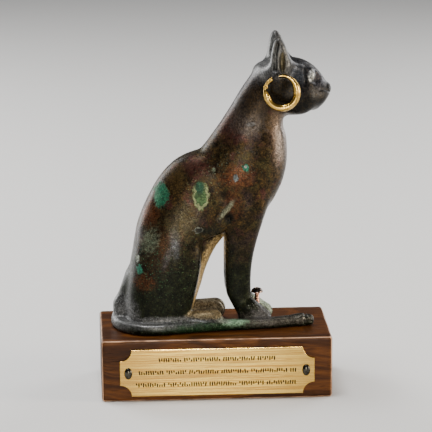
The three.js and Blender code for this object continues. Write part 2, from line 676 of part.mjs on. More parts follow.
function baseGeometry() {
  const [x, y, r] = [BASE_LENGTH / 2 - BASE_EDGE, BASE_DEPTH / 2 - BASE_EDGE, BASE_CORNER - BASE_EDGE];
  const outline = new THREE.Shape();
  outline.moveTo(r - x, -y);
  outline.absarc(x - r, r - y, r, -Math.PI / 2, 0);
  outline.absarc(x - r, y - r, r, 0, Math.PI / 2);
  outline.absarc(r - x, y - r, r, Math.PI / 2, Math.PI);
  outline.absarc(r - x, r - y, r, Math.PI, Math.PI * 1.5);
  const block = new THREE.ExtrudeGeometry(outline, {
    depth: BASE_HEIGHT - 2 * BASE_EDGE,
    bevelThickness: BASE_EDGE,
    bevelSize: BASE_EDGE,
    bevelSegments: 3,
    curveSegments: 2,
  }).translate(0, 0, BASE_EDGE);
  const front = BASE_DEPTH / 2;
  const well = bore(SCREW_SHANK / 2 + SHANK_CLEARANCE, BASE_HEIGHT - SCREW_DEPTH, BASE_HEIGHT + OVERSHOOT);
  const pilot = bore(PIN_SHANK / 2 + SHANK_CLEARANCE, front - PIN_DEPTH, front + OVERSHOOT)
    .rotate([90, 0, 0]);
  let solid = solidOfGeometry(block).subtract(well.translate([SCREW_X, 0, 0]));
  for (const side of [-1, 1]) {
    solid = solid.subtract(pilot.translate([side * PIN_X, 0, PLAQUE_LEVEL]));
  }
  return geometryOf(solid);
}

function plaqueGeometry() {
  const [x, y, r] = [PLAQUE_LENGTH / 2 - PLAQUE_BEVEL, PLAQUE_HEIGHT / 2 - PLAQUE_BEVEL, PLAQUE_NOTCH];
  const outline = new THREE.Shape();
  outline.moveTo(r - x, -y);
  outline.lineTo(x - r, -y);
  outline.absarc(x, -y, r, Math.PI, Math.PI / 2, true);
  outline.lineTo(x, y - r);
  outline.absarc(x, y, r, Math.PI * 1.5, Math.PI, true);
  outline.lineTo(r - x, y);
  outline.absarc(-x, y, r, 0, -Math.PI / 2, true);
  outline.lineTo(-x, r - y);
  outline.absarc(-x, -y, r, Math.PI / 2, 0, true);
  for (const side of [-1, 1]) {
    const radius = PIN_SHANK / 2 + SHANK_CLEARANCE + PLAQUE_BEVEL;
    outline.holes.push(new THREE.Path().absarc(side * PIN_X, 0, radius, 0, Math.PI * 2, true));
  }
  const plate = new THREE.ExtrudeGeometry(outline, {
    depth: PLAQUE_THICKNESS - 2 * PLAQUE_BEVEL,
    bevelThickness: PLAQUE_BEVEL,
    bevelSize: PLAQUE_BEVEL,
    bevelSegments: 1,
    curveSegments: 4,
  });
  return plate.translate(0, 0, PLAQUE_BEVEL).applyMatrix4(UPRIGHT);
}

// A dome head on a round shank, along Y. The head's underside is at zero.
function domeGeometry(head, dome, shank, length) {
  const profile = [[0, -length], [shank / 2, -length], [shank / 2, 0], [head / 2, 0]];
  for (let i = 1; i < DOME_RINGS; i += 1) {
    const turn = Math.PI / 2 * i / DOME_RINGS;
    profile.push([head / 2 * Math.cos(turn), dome * Math.sin(turn)]);
  }
  profile.push([0, dome]);
  return new THREE.LatheGeometry(profile.map(([r, y]) => new THREE.Vector2(r, y)), ROUND_SIDES);
}

// A plaque pin: its dome is an upright oval and its shank is round
function pinGeometry() {
  const pin = domeGeometry(PIN_HEAD_HEIGHT, PIN_HEAD_DOME, PIN_SHANK,
    PLAQUE_THICKNESS + PIN_DEPTH - SHANK_CLEARANCE);
  const place = pin.attributes.position;
  for (let i = 0; i < place.count; i += 1) {
    const onHead = Math.hypot(place.getX(i), place.getZ(i)) > PIN_SHANK / 2 + 1e-3 || place.getY(i) > 0;
    if (onHead) place.setX(i, place.getX(i) * PIN_HEAD_WIDTH / PIN_HEAD_HEIGHT);
  }
  return pin.scale(-1, -1, 1);
}

function piece(name, geometry, color, roughness, metalness) {
  geometry.computeVertexNormals();
  const mesh = new THREE.Mesh(geometry, new THREE.MeshStandardMaterial({ color, roughness, metalness }));
  mesh.name = name;
  return mesh;
}

const figure = new THREE.Group();
figure.add(piece('base', baseGeometry(), 0x5a2f18, 0.45, 0));

const onTop = new THREE.Group();
onTop.position.z = BASE_HEIGHT;
onTop.add(piece('cat', catGeometry(), 0x33322a, 0.42, 0.7));
onTop.add(piece('earring', geometryOf(hoop(0)), 0xd0a23c, 0.28, 1));
const screwShape = domeGeometry(SCREW_HEAD, SCREW_HEAD_DOME, SCREW_SHANK, SCREW_STAND + SCREW_DEPTH);
const screw = piece('mount_screw', screwShape.applyMatrix4(UPRIGHT), 0xb08462, 0.3, 1);
screw.position.set(SCREW_X, 0, SCREW_STAND);
onTop.add(screw);
figure.add(onTop);

const onFront = new THREE.Group();
onFront.position.set(0, -BASE_DEPTH / 2, PLAQUE_LEVEL);
onFront.add(piece('plaque', plaqueGeometry(), 0xb8935a, 0.35, 1));
for (const [name, side] of [['pin_left', -1], ['pin_right', 1]]) {
  const pin = piece(name, pinGeometry(), 0x2f2722, 0.3, 1);
  pin.position.set(side * PIN_X, -PLAQUE_THICKNESS, 0);
  onFront.add(pin);
}
figure.add(onFront);

export default figure;
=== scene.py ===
"""The looks of a seated bronze cat with one gold hoop, on a hardwood block with an engraved brass plate.

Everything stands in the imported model's frame, in metres. The cat is drawn in canon units, 159.2 to its
height, from the middle of the block's top, with +X the way it looks and +Y its left.
"""

import enum
import logging
import math
from dataclasses import dataclass, field
from typing import Callable, Sequence

import bmesh
import bpy
import numpy as np
from mathutils import Matrix, Vector, geometry

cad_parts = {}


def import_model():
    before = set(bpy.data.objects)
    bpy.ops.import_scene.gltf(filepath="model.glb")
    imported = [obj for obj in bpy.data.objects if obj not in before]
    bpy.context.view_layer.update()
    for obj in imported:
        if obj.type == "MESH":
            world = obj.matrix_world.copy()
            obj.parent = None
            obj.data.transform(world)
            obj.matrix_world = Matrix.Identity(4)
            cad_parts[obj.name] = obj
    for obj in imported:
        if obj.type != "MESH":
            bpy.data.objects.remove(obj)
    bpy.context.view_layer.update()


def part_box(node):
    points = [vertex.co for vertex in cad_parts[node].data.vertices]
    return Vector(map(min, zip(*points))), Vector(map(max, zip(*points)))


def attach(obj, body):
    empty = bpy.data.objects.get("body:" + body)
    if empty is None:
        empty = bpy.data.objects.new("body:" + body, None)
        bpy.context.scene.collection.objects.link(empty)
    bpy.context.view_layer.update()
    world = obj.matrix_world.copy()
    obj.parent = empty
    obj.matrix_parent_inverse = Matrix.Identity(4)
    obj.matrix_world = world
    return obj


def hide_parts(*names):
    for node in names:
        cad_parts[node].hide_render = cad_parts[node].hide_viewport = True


Array = np.ndarray
Point = tuple[float, float, float]
Stations = tuple[tuple[float, ...], ...]
Colour = tuple[float, float, float]
Faces = Sequence[Sequence[int]] | np.ndarray
Form = Callable[[Array], Array]
Ramp = tuple[tuple[float, Colour], ...]

log = logging.getLogger("bastet_cat")

MM = 0.001


class Slot(enum.Enum):
    """The record's material slots."""

    BRONZE = "bronze"
    GOLD = "gold"
    SCREW = "screw_metal"
    WOOD = "hardwood"
    BRASS = "brass"
    PIN = "pin_metal"


class Coat(enum.IntEnum):
    """Which of a piece's materials a face has."""

    MAIN = 0
    SECOND = 1


# Meshes


def grid_faces(rows: int, columns: int, round_rows: bool = False, round_columns: bool = False) -> Array:
    """Four-sided faces between the points of a grid, numbered row by row.

    Args:
        rows: Number of rows of points.
        columns: Number of points in a row.
        round_rows: Whether the last row joins the first.
        round_columns: Whether the last point of a row joins its first.

    Returns:
        The point numbers of each face, four to a face.
    """
    i = np.arange(rows if round_rows else rows - 1)[:, None]
    j = np.arange(columns if round_columns else columns - 1)[None, :]
    below, right = (i + 1) % rows, (j + 1) % columns
    corners = (i * columns + j, i * columns + right, below * columns + right, below * columns + j)
    return np.stack([np.broadcast_to(c, (i.size, j.size)) for c in corners], -1).reshape(-1, 4)


def link(name: str, data: bpy.types.ID) -> bpy.types.Object:
    """Puts an object with some data into the scene."""
    thing = bpy.data.objects.new(name, data)
    bpy.context.scene.collection.objects.link(thing)
    return thing


def carry(piece: bpy.types.Object, name: str, values: Array) -> None:
    """Gives a piece's mesh a named value at each vertex."""
    attribute = piece.data.attributes.new(name, "FLOAT", "POINT")
    attribute.data.foreach_set("value", values.astype(np.float32))


def block_top() -> float:
    """Level of the block's top, in metres."""
    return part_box("base")[1][2]


def circle(steps: int) -> Array:
    """Angles all the way round, in even steps."""
    return np.linspace(0, 2 * np.pi, steps, endpoint=False)


def spokes(angle: Array) -> Array:
    """Unit vectors in the x and z plane, one for each angle from x towards z."""
    return np.stack([np.cos(angle), 0 * angle, np.sin(angle)], 1)


def make_piece(name: str, points: Array, faces: Faces, node: str,
               shade_smooth: bool = True) -> bpy.types.Object:
    """Makes an object of points and faces, which stands for a node of the frame.

    Args:
        name: The piece's name.
        points: Its points in metres, in the frame.
        faces: Point numbers of each face.
        node: The frame's node that it stands for.
        shade_smooth: Whether the faces are shaded as one smooth surface.

    Returns:
        The object, riding on the root body.
    """
    mesh = bpy.data.meshes.new(name)
    counts = np.array([len(face) for face in faces], np.int32)
    corners = np.concatenate(faces).astype(np.int32)
    mesh.vertices.add(len(points))
    mesh.vertices.foreach_set("co", np.asarray(points, np.float32).ravel())
    mesh.loops.add(len(corners))
    mesh.loops.foreach_set("vertex_index", corners)
    mesh.polygons.add(len(counts))
    mesh.polygons.foreach_set("loop_start", np.cumsum(counts, dtype=np.int32) - counts)
    mesh.polygons.foreach_set("use_smooth", np.full(len(counts), shade_smooth))
    mesh.update(calc_edges=True)
    mesh.validate()
    piece = link(name, mesh)
    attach(piece, "root")
    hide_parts(node)
    return piece


class Skins:
    """Several surfaces gathered into one mesh."""

    def __init__(self) -> None:
        """Starts with no surface."""
        self.points: list[Array] = []
        self.faces: list[Sequence[int]] = []
        self.coats: list[Coat] = []
        self.count = 0

    def add(self, points: Array, faces: Faces, coats: Coat | Sequence[Coat] = Coat.MAIN) -> None:
        """Adds a surface.

        Args:
            points: Its points.
            faces: Its faces, numbered from its own first point.
            coats: The coat of all its faces, or of each.
        """
        self.points.append(np.asarray(points, float).reshape(-1, 3))
        self.faces.extend([int(v) + self.count for v in face] for face in faces)
        self.coats.extend([coats] * len(faces) if isinstance(coats, Coat) else coats)
        self.count += len(self.points[-1])

    def piece(self, name: str, node: str, slot: Slot, shade_smooth: bool = True) -> bpy.types.Object:
        """Makes one object of all the surfaces.

        Args:
            name: The piece's name.
            node: The frame's node that it stands for.
            slot: The record's material slot of its finish. It is not used.
            shade_smooth: Whether the faces are shaded as one smooth surface.

        Returns:
            The object.
        """
        piece = make_piece(name, np.concatenate(self.points), self.faces, node, shade_smooth)
        piece.data.polygons.foreach_set("material_index", np.array(self.coats, np.int32))
        return piece


WAVES = 9
WAVE_SPREAD = (0.6, 1.6)


def ripple(points: Array, size: float, seed: int) -> Array:
    """A soft unevenness between about -1 and 1: a sum of nine sine waves in directions drawn by lot.

    Args:
        points: Where it is wanted.
        size: About how far apart its swells lie, in the points' unit.
        seed: Which draw of the lot.

    Returns:
        One value for each point.
    """
    lot = np.random.default_rng(seed)
    waves = lot.normal(size=(WAVES, 3))
    lengths = np.linalg.norm(waves, axis=1)
    waves *= (lot.uniform(*WAVE_SPREAD, WAVES) / lengths)[:, None] * 2 * math.pi / size
    phases = lot.uniform(0, 2 * math.pi, WAVES)
    return sum(np.sin(points @ wave + phase) for wave, phase in zip(waves, phases)) / 4


# The cat's form, as distances from its surface in canon units. They are below zero inside.


def join(a: Array, b: Array, k: float) -> Array:
    """Both forms together, with a fillet about k wide: the lesser value, less a parabola near a tie."""
    return np.minimum(a, b) - np.maximum(k - np.abs(a - b), 0) ** 2 / (4 * k)


def carve(a: Array, b: Array, k: float) -> Array:
    """Form a without form b, with a soft edge k wide."""
    return -join(-a, b, k)


def keep(a: Array, b: Array, k: float) -> Array:
    """What lies in both forms, with a soft edge k wide."""
    return -join(-a, -b, k)


def egg(p: Array, centre: Point, radii: Point) -> Array:
    """Distance to an ellipsoid: its own measure of a point, times the measure less one, over its slope.

    Args:
        p: Points, one to a row.
        centre: The ellipsoid's centre.
        radii: Its half sizes.

    Returns:
        The distance of each point.
    """
    q = (p - np.array(centre)) / np.array(radii)
    measure = np.sqrt((q * q).sum(1))
    q /= np.array(radii)
    slope = np.sqrt((q * q).sum(1))
    return measure * (measure - 1) / np.maximum(slope, 1e-6)


def rod(p: Array, start: Point | Array, end: Point | Array, start_radius: float,
        end_radius: float) -> Array:
    """Distance to a round rod: how far a point is from the line, less the radius at its foot there.

    Args:
        p: Points, one to a row.
        start: Middle of the rod's first end.
        end: Middle of its last end.
        start_radius: Radius at the first end.
        end_radius: Radius at the last end.

    Returns:
        The distance of each point.
    """
    along = np.array(end) - np.array(start)
    q = p - np.array(start)
    t = np.clip(q @ along / (along @ along), 0, 1)
    gap = q - t[:, None] * along
    return np.sqrt((gap * gap).sum(1)) - start_radius - t * (end_radius - start_radius)


def smooth(stations: Stations, t: Array) -> tuple[Array, Array]:
    """Cubic curves through stations, each with the slope of the parabola through its two neighbours.

    Args:
        stations: Rows of a place and the values there.
        t: The places wanted. Past either end the end's values hold.

    Returns:
        The values at each place, and their slopes.
    """
    table = np.array(stations, float)
    at, values = table[:, 0], table[:, 1:]
    step = np.diff(at)
    chord = np.diff(values, axis=0) / step[:, None]
    slope = np.concatenate([chord[:1], np.zeros_like(chord[1:]), chord[-1:]])
    before, after = step[:-1, None], step[1:, None]
    slope[1:-1] = (before * chord[1:] + after * chord[:-1]) / (before + after)
    i = np.clip(np.searchsorted(at, t) - 1, 0, len(at) - 2)
    width = step[i][:, None]
    u = np.clip((t - at[i]) / step[i], 0, 1)[:, None]
    rise, left, right = values[i + 1] - values[i], slope[i] * width, slope[i + 1] * width
    bend = left + right - 2 * rise
    value = values[i] + u * (left + u * (3 * rise - 2 * left - right + u * bend))
    rate = (left + u * (2 * (3 * rise - 2 * left - right) + 3 * u * bend)) / width
    return value, rate


def loft(p: Array, stations: Stations, side: int = 1) -> Array:
    """Distance to a body whose level slices are rounded oblongs.

    A slice's measure of a point is (|u| to the n + |v| to the n) to the 1/n, where u and v are the
    point's place in the oblong and n is its squareness. The distance is that measure less one, over
    the measure's slope in all three directions.

    Args:
        p: Points, one to a row.
        stations: Rows of level, back, front, half width, squareness and middle in y.
        side: The sign that the middle in y gets.

    Returns:
        The distance of each point.
    """
    value, rate = smooth(stations, p[:, 2])
    back, front, half, power, middle = value.T
    reach = (front - back) / 2
    u = (p[:, 0] - (front + back) / 2) / reach
    v = (p[:, 1] - middle * side) / half
    pu, pv = np.abs(u) ** (power - 1), np.abs(v) ** (power - 1)
    measure = np.maximum((np.abs(u) * pu + np.abs(v) * pv) ** (1 / power), 1e-6)
    drift_u = -((rate[:, 0] + rate[:, 1]) / 2 + u * (rate[:, 1] - rate[:, 0]) / 2) / reach
    drift_v = -(rate[:, 4] * side + v * rate[:, 2]) / half
    climb = np.sign(u) * pu * drift_u + np.sign(v) * pv * drift_v
    slope = np.sqrt((pu / reach) ** 2 + (pv / half) ** 2 + climb ** 2)
    return (measure - 1) * measure ** (power - 1) / np.maximum(slope, 1e-6)


def strap(p: Array, stations: Stations, steps: int, squareness: float) -> Array:
    """Distance to a strap that lies on the block along a level path, with rounded oblong sections.

    Args:
        p: Points, one to a row.
        stations: Rows of way along the path, x, y, half width and half height.
        steps: Number of straight pieces that the path is followed by.
        squareness: How square its sections are.

    Returns:
        The distance of each point.
    """
    path, _ = smooth(stations, np.linspace(stations[0][0], stations[-1][0], steps + 1))
    away, half, tall = np.full(len(p), np.inf), np.ones(len(p)), np.ones(len(p))
    for a, b in zip(path[:-1], path[1:]):
        d = b[:2] - a[:2]
        t = np.clip((p[:, :2] - a[:2]) @ d / (d @ d), 0, 1)
        gap = np.hypot(p[:, 0] - a[0] - t * d[0], p[:, 1] - a[1] - t * d[1])
        nearer = gap < away
        away = np.where(nearer, gap, away)
        half = np.where(nearer, a[2] + t * (b[2] - a[2]), half)
        tall = np.where(nearer, a[3] + t * (b[3] - a[3]), tall)
    measure = (away / half) ** squareness + np.abs(p[:, 2] / tall - 1) ** squareness
    return (measure ** (1 / squareness) - 1) * np.minimum(half, tall)


def slope_of(form: Form, p: Array, nudge: float) -> tuple[Array, Array]:
    """A form's values at points and its slopes there, by small steps in each direction.

    Args:
        form: The form.
        p: Points, one to a row.
        nudge: Length of the small steps.

    Returns:
        The values, and the slopes, three to a point.
    """
    value = form(p)
    steps = np.concatenate([p + nudge * axis for axis in np.eye(3)])
    return value, (form(steps).reshape(3, -1).T - value[:, None]) / nudge


NUDGE = 0.02
LEAST_SQUARE = 0.05


def settle(form: Form, p: Array, reach: float | Array, rounds: int) -> Array:
    """Moves points onto a form's surface along its slope.

    Args:
        form: The form.
        p: Points, one to a row.
        reach: The most that a point may move in x, y or z.
        rounds: How many times the step is taken.

    Returns:
        The moved points.
    """
    moved = p.copy()
    for _ in range(rounds):
        value, slope = slope_of(form, moved, NUDGE)
        square = np.maximum((slope * slope).sum(1), LEAST_SQUARE)
        moved = np.clip(moved - (value / square)[:, None] * slope, p - reach, p + reach)
    return moved


@dataclass(frozen=True)
class Stroke:
    """A fine line on the bronze, drawn through points near the surface.

    A section across it is a bell curve. It is a groove where its depth is positive and a ridge where
    it is negative.
    """

    points: tuple[Point, ...]
    width: float
    depth: float
    sides: tuple[int, ...] = (-1, 1)


@dataclass(frozen=True, kw_only=True)
class Part:
    """A part of the cat's form, added with a fillet or cut out with a soft edge, each about blend wide."""

    blend: float
    cut: bool = False

    def distance(self, p: Array, side: int) -> Array:
        """Distance to the part, on the cat's left where side is 1 and mirrored where it is -1."""
        raise NotImplementedError

    def onto(self, form: Array, p: Array, side: int = 1) -> Array:
        """The form with the part added or cut out, on the side that its sign gives."""
        there = self.distance(p, side)
        return carve(form, there, self.blend) if self.cut else join(form, there, self.blend)


@dataclass(frozen=True)
class Egg(Part):
    """An ellipsoid."""

    centre: Point
    radii: Point

    def distance(self, p: Array, side: int) -> Array:
        """Distance to the ellipsoid."""
        x, y, z = self.centre
        return egg(p, (x, y * side, z), self.radii)


@dataclass(frozen=True)
class Rod(Part):
    """A round rod."""

    start: Point
    end: Point
    start_radius: float
    end_radius: float

    def distance(self, p: Array, side: int) -> Array:
        """Distance to the rod."""
        start, end = ((x, y * side, z) for x, y, z in (self.start, self.end))
        return rod(p, start, end, self.start_radius, self.end_radius)


@dataclass(frozen=True)
class Loft(Part):
    """A body of level slices, cut off below low, above high and nearer the middle than inner."""

    stations: Stations
    high: float
    edge: float
    low: float = -math.inf
    inner: float = -math.inf

    def distance(self, p: Array, side: int) -> Array:
        """Distance to the body."""
        room = np.maximum(self.low - p[:, 2], p[:, 2] - self.high)
        room = np.maximum(room, self.inner - side * p[:, 1])
        return keep(loft(p, self.stations, side), room, self.edge)


@dataclass(frozen=True)
class CatForm:
    """The cat's main forms in canon units, each by a few sections, and the fine lines on them."""

    haunch: Stations = (
        (-4, -48.6, -15, 16.5, 2.8, 0), (8, -48.6, -14, 18.6, 2.8, 0), (20, -47.6, -11.9, 19.5, 2.8, 0),
        (34, -45.4, -10.8, 19.5, 2.7, 0), (44, -43.6, -9, 19, 2.6, 0), (50, -42.6, -6.5, 18.6, 2.5, 0),
        (56, -41.5, 3, 18, 2.4, 0), (62, -39.5, 9, 17.2, 2.3, 0), (72, -35.1, 14, 16, 2.2, 0),
        (81.7, -29.6, 18, 14.5, 2.1, 0), (88.3, -24.1, 20, 13, 2.1, 0), (93.6, -17.1, 20, 11, 2, 0),
        (98.3, -5.2, 16, 7.5, 2, 0),
    )
    belly: Loft = Loft((
        (-4, -40, -15, 12, 2.2, 0), (8.5, -40, -11.7, 12.5, 2.2, 0), (23, -40, -6.8, 12.5, 2.2, 0),
        (31, -38, -4.5, 12, 2.2, 0), (38, -36, -1.6, 11.5, 2.2, 0), (44, -34, 1.6, 10.5, 2.2, 0),
        (50, -32, 6.5, 10, 2.2, 0), (60, -30, 14, 10, 2.2, 0),
    ), high=58, edge=4, blend=3)
    chest: Loft = Loft((
        (48, 9, 16, 6.5, 2, 0), (54, 5, 21, 10, 2, 0), (62, 0, 27.5, 13, 2, 0), (70, -6, 33, 15, 2.1, 0),
        (80, -9, 37.7, 16, 2.1, 0), (90, -8, 39.8, 15.6, 2.1, 0), (98.3, -5.4, 40, 14.6, 2.1, 0),
        (104, -1.5, 39.5, 13.4, 2.1, 0), (110, 2.8, 38, 12.2, 2.1, 0), (116, 6.9, 38.6, 11.4, 2.1, 0),
        (124, 11.8, 42, 11.2, 2.1, 0), (132, 16.8, 45, 11.4, 2.1, 0), (139, 22.2, 46, 9.5, 2.1, 0),
    ), low=46, high=141, edge=6, blend=2.5)
    foreleg: Loft = Loft((
        (-4, 13.6, 21, 3.8, 2.2, 5.4), (6, 12.6, 21, 4, 2.2, 5.4), (12, 9.6, 20.6, 4.2, 2.2, 5.4),
        (18, 6.8, 20, 4.3, 2.3, 5.4), (26, 5.8, 19.9, 4.4, 2.3, 5.4), (34, 5.7, 20.5, 4.6, 2.3, 5.6),
        (42, 5.7, 21.8, 5, 2.3, 6), (50, 5.9, 23.8, 5.8, 2.2, 6.7), (58, 6.4, 26.2, 6.8, 2.2, 7.6),
        (66, 8, 28.5, 7.4, 2.2, 8), (76, 11, 30, 6, 2.2, 8),
    ), high=78, edge=6, blend=2.5)
    thigh: Loft = Loft((
        (-4, -38, -14.2, 7, 2.4, 10.4), (8, -38, -13.6, 7.6, 2.4, 10.8), (16, -37, -11.8, 8, 2.4, 11),
        (26, -36, -9.2, 8, 2.4, 11.3), (36, -34, -7.6, 8, 2.4, 11.4), (44, -32, -7, 8, 2.4, 11.2),
        (49, -30, -6.2, 7.8, 2.4, 10.8), (51, -29, -3.6, 7.6, 2.4, 10.4), (53, -28, 4, 7, 2.3, 9.6),
        (56, -26, 7.6, 7, 2.2, 9.2), (62, -22, 9.6, 7, 2.2, 9), (70, -16, 12, 6.4, 2.2, 9),
    ), high=72, edge=6, blend=3)
    elbow: tuple[Part, ...] = (
        # the fold of skin between knee and elbow, and the hollow beside it
        Rod((8.8, 14.2, 70.3), (1.6, 14.8, 60.6), 1.2, 1, blend=1.5),
        Egg((7.8, 16.4, 62), (1.8, 4.2, 2.6), blend=0.8, cut=True),
    )
    rump: tuple[Part, ...] = (
        # the tail's root, down the back and round to the block
        Rod((-43.5, 0, 27), (-49.2, 0, 12), 4.5, 5, blend=5),
        Rod((-49.2, 0, 12), (-51, -2, 3), 5, 4.6, blend=3),
    )
    skull: Egg = Egg((40, 0, 131), (19.5, 13.6, 15.9), blend=3)
    snout: tuple[Part, ...] = (
        # the crown behind the ears, the muzzle and the chin
        Egg((29.2, 0, 139.4), (7, 13, 5.2), blend=3),
        Rod((50, 0, 132.4), (60.8, 0, 130), 8.2, 2.9, blend=4),
        Rod((59.2, 0, 127.4), (54, 0, 121.8), 3.4, 4.2, blend=3),
    )
    face: tuple[Part, ...] = (
        # the cheek, the whisker pad, the eye's socket and its ball
        Egg((46, 8, 125.5), (9, 5.6, 8), blend=5),
        Egg((55.4, 3.8, 126.2), (5, 4.4, 5.2), blend=4.5),
        Egg((55.4, 9.4, 137.2), (2.9, 3.4, 3), blend=2, cut=True),
        Egg((51.9, 6.9, 137.9), (2.9, 3.5, 3.5), blend=1),
        # the ear, the brow's ridge before it, the ear's slit in two stretches, its bowl and its lobe
        Loft((
            (129, 29.5, 35.5, 3, 2.1, 11.2), (136, 28.8, 38, 5, 2.1, 12),
            (143, 29.2, 41, 5.2, 2.1, 11.8), (146.5, 30.1, 41, 5, 2.1, 11.8),
            (150.3, 30.6, 40, 4.5, 2, 12), (154.8, 31.5, 38.5, 3.4, 2, 12.4),
            (157, 32.2, 37.4, 2.6, 2, 12.7), (159, 33.4, 36, 1.4, 2, 13),
        ), low=130, high=159.2, inner=1, edge=1.5, blend=5),
        Rod((39, 10.4, 145), (45, 7.6, 141.8), 2.4, 1.4, blend=4),
        Rod((34, 14.6, 156.4), (32.8, 15, 151), 0.8, 1, blend=0.8, cut=True),
        Rod((32.8, 15, 151), (32.5, 16, 142), 1, 1.1, blend=0.8, cut=True),
        Egg((36.2, 17, 146.8), (1.8, 3.4, 5.6), blend=0.8, cut=True),
        Egg((32.9, 15.2, 138.4), (2.6, 3.4, 3.8), blend=1),
    )
    tail: Stations = (
        (0, -51.4, 0, 4.2, 3.6), (8, -50.6, -8, 3.8, 3.4), (16, -46.6, -14.8, 3.5, 3.2),
        (24, -40.2, -19.8, 3.3, 3), (32, -32, -21.3, 3.2, 3), (44, -20, -19.2, 3.2, 3),
        (60, -4, -15.8, 3.2, 3), (76, 12, -13.3, 3.2, 2.9), (92, 28, -11.5, 3.2, 2.9),
        (105, 41, -9.2, 3.2, 3.1), (112, 48, -8, 3.5, 3.4), (115.5, 51, -7.4, 3.1, 3),
    )
    tail_steps: int = 60
    tail_squareness: float = 3
    tail_blend: float = 2
    haunch_top: float = 99.0
    haunch_edge: float = 4
    legs_top: float = 90.0
    tail_top: float = 14.0
    head_bottom: float = 106.0
    # how far out a forepaw and a hind foot lie, and how far forwards the right and the left one reach
    paw_out: float = 5.9
    foot_out: float = 11.5
    paw_tips: tuple[float, float] = (26.0, 27.7)
    foot_tips: tuple[float, float] = (-1.4, 1.2)
    # the grooves between the toes: how far apart, how much wider apart on a hind foot, their width, and
    # how far the outer two run back for each unit that they lie out
    toe_gap: float = 2.4
    foot_spread: float = 1.2
    toe_width: float = 0.55
    toe_back: float = 0.35
    # the course of a groove: how far each of its points lies before the foot's tip, and its level
    paw_groove: tuple[tuple[float, float], ...] = ((0, 11), (3.4, 8.4), (4.8, 5.4), (4.8, 2.4))
    foot_groove: tuple[tuple[float, float], ...] = ((0.6, 11.4), (4.2, 9.6), (5.9, 6), (5.9, 2.4))
    strokes: tuple[Stroke, ...] = (
        # the grooves of the eye's two lids, and the brow's ridge over them
        Stroke(((56.4, 3.6, 134.6), (55.4, 5.6, 138.4), (53, 7.8, 140.6), (50, 9.6, 140)), 0.5, 0.35),
        Stroke(((56.4, 3.6, 134.6), (54.6, 6.8, 133.9), (52.2, 9, 135.2), (50, 9.6, 140)), 0.5, 0.35),
        Stroke(((57.6, 2.6, 136.4), (55.6, 4.8, 141), (52.4, 7.2, 143), (49, 9.4, 142.6)), 1.0, -0.35),
        # the crease behind the eye
        Stroke(((49.3, 9.4, 142.6), (48.8, 10.6, 138.5), (48.7, 11, 134.2)), 0.7, 0.5),
        # the mouth, the line under the nose and the nose's wings
        Stroke(((62.3, 0.2, 126.9), (60.6, 2.6, 128.3), (58, 4.8, 129.1), (55.4, 6.4, 129.2)), 0.4, 0.4),
        Stroke(((63.9, 0, 128.6), (62.3, 0, 126.9)), 0.4, 0.45, (1,)),
        Stroke(((64, 1, 131), (63.3, 2.2, 130), (62.6, 1.9, 129)), 0.3, 0.22),
        Stroke(((63.5, 1.3, 129.5), (63.3, 1.5, 129.3)), 0.3, 0.3),
        # the tail's frayed end: a groove round it, then slits
        Stroke(((48.4, -11.8, 1.6), (48.6, -10.4, 5), (48.9, -8, 6.6), (49.2, -5, 4.6), (49.2, -4.4, 2)),
               0.55, 0.7, (1,)),
        Stroke(((50.2, -9.6, 6), (54.4, -9.4, 4.4)), 0.4, 0.6, (1,)),
        Stroke(((50.4, -7.2, 6.4), (54.6, -7, 4.2)), 0.35, 0.5, (1,)),
        Stroke(((50.6, -11, 3.4), (54.4, -10.2, 2.4)), 0.4, 0.6, (1,)),
        Stroke(((42, -11.4, 5), (45.4, -10.6, 6)), 0.7, 0.35, (1,)),
        # fine lines inside the ears
        Stroke(((36, 17, 152), (37, 17, 147), (36.8, 17, 141)), 0.4, 0.35),
        Stroke(((37.6, 17, 151), (39, 17, 146.5), (38.6, 17, 141)), 0.4, 0.35),
    )
    # wear and damage on the right side, and plainer marks of the same kind on the left
    wear: tuple[Stroke, ...] = (
        # creases beside the fold of skin between knee and elbow
        Stroke(((6.4, 15.6, 70.6), (1.2, 16.2, 64)), 0.6, 0.25, (-1, 1)),
        # a flaked spot with a raised rim
        Stroke(((-10.4, 17.6, 57.6), (-9.2, 17.6, 58.8), (-7.4, 17.6, 58.2), (-6.8, 17.6, 56.6)),
               0.45, -0.3, (-1,)),
        Stroke(((-9.2, 17.6, 57.2), (-8, 17.6, 57)), 0.8, 0.35, (-1,)),
        # a chip and scratches on the neck
        Stroke(((18.4, 12, 113.6), (20.4, 12, 112), (21.4, 12, 112.4)), 0.6, 0.5, (-1,)),
        Stroke(((19.4, 12, 114.6), (21.6, 12, 115.2)), 0.5, 0.4, (-1,)),
        # pits on the flank and the haunch
        Stroke(((-0.2, 16, 88.4), (0.2, 16, 88.2)), 0.7, 0.5, (-1,)),
        Stroke(((11, 16, 84), (11.4, 16, 83)), 0.9, 0.45, (-1,)),
        Stroke(((-41.4, 12, 40.6), (-41, 12, 39.6)), 0.8, 0.4, (-1,)),
        Stroke(((-12.6, 16, 78.4), (-12.4, 16, 78)), 0.6, 0.5, (-1,)),
        Stroke(((-20, 17, 70), (-19.4, 17, 69.4)), 0.7, 0.4, (1,)),
        Stroke(((-32, 16, 40), (-31.5, 16, 39)), 0.9, 0.5, (1,)),
    )

    def body(self, p: Array) -> Array:
        """Distance to the trunk, neck, legs and tail, at points one to a row."""
        form = self.belly.onto(loft(p, self.haunch), p)
        form = keep(form, p[:, 2] - self.haunch_top, self.haunch_edge)
        form = self.chest.onto(form, p)
        low = p[:, 2] <= self.legs_top
        form[low] = self.legs(form[low], p[low])
        return form

    def tips(self, side: int) -> tuple[float, float]:
        """How far forwards the forepaw and the hind foot of a side reach."""
        left = side > 0
        return self.paw_tips[left], self.foot_tips[left]

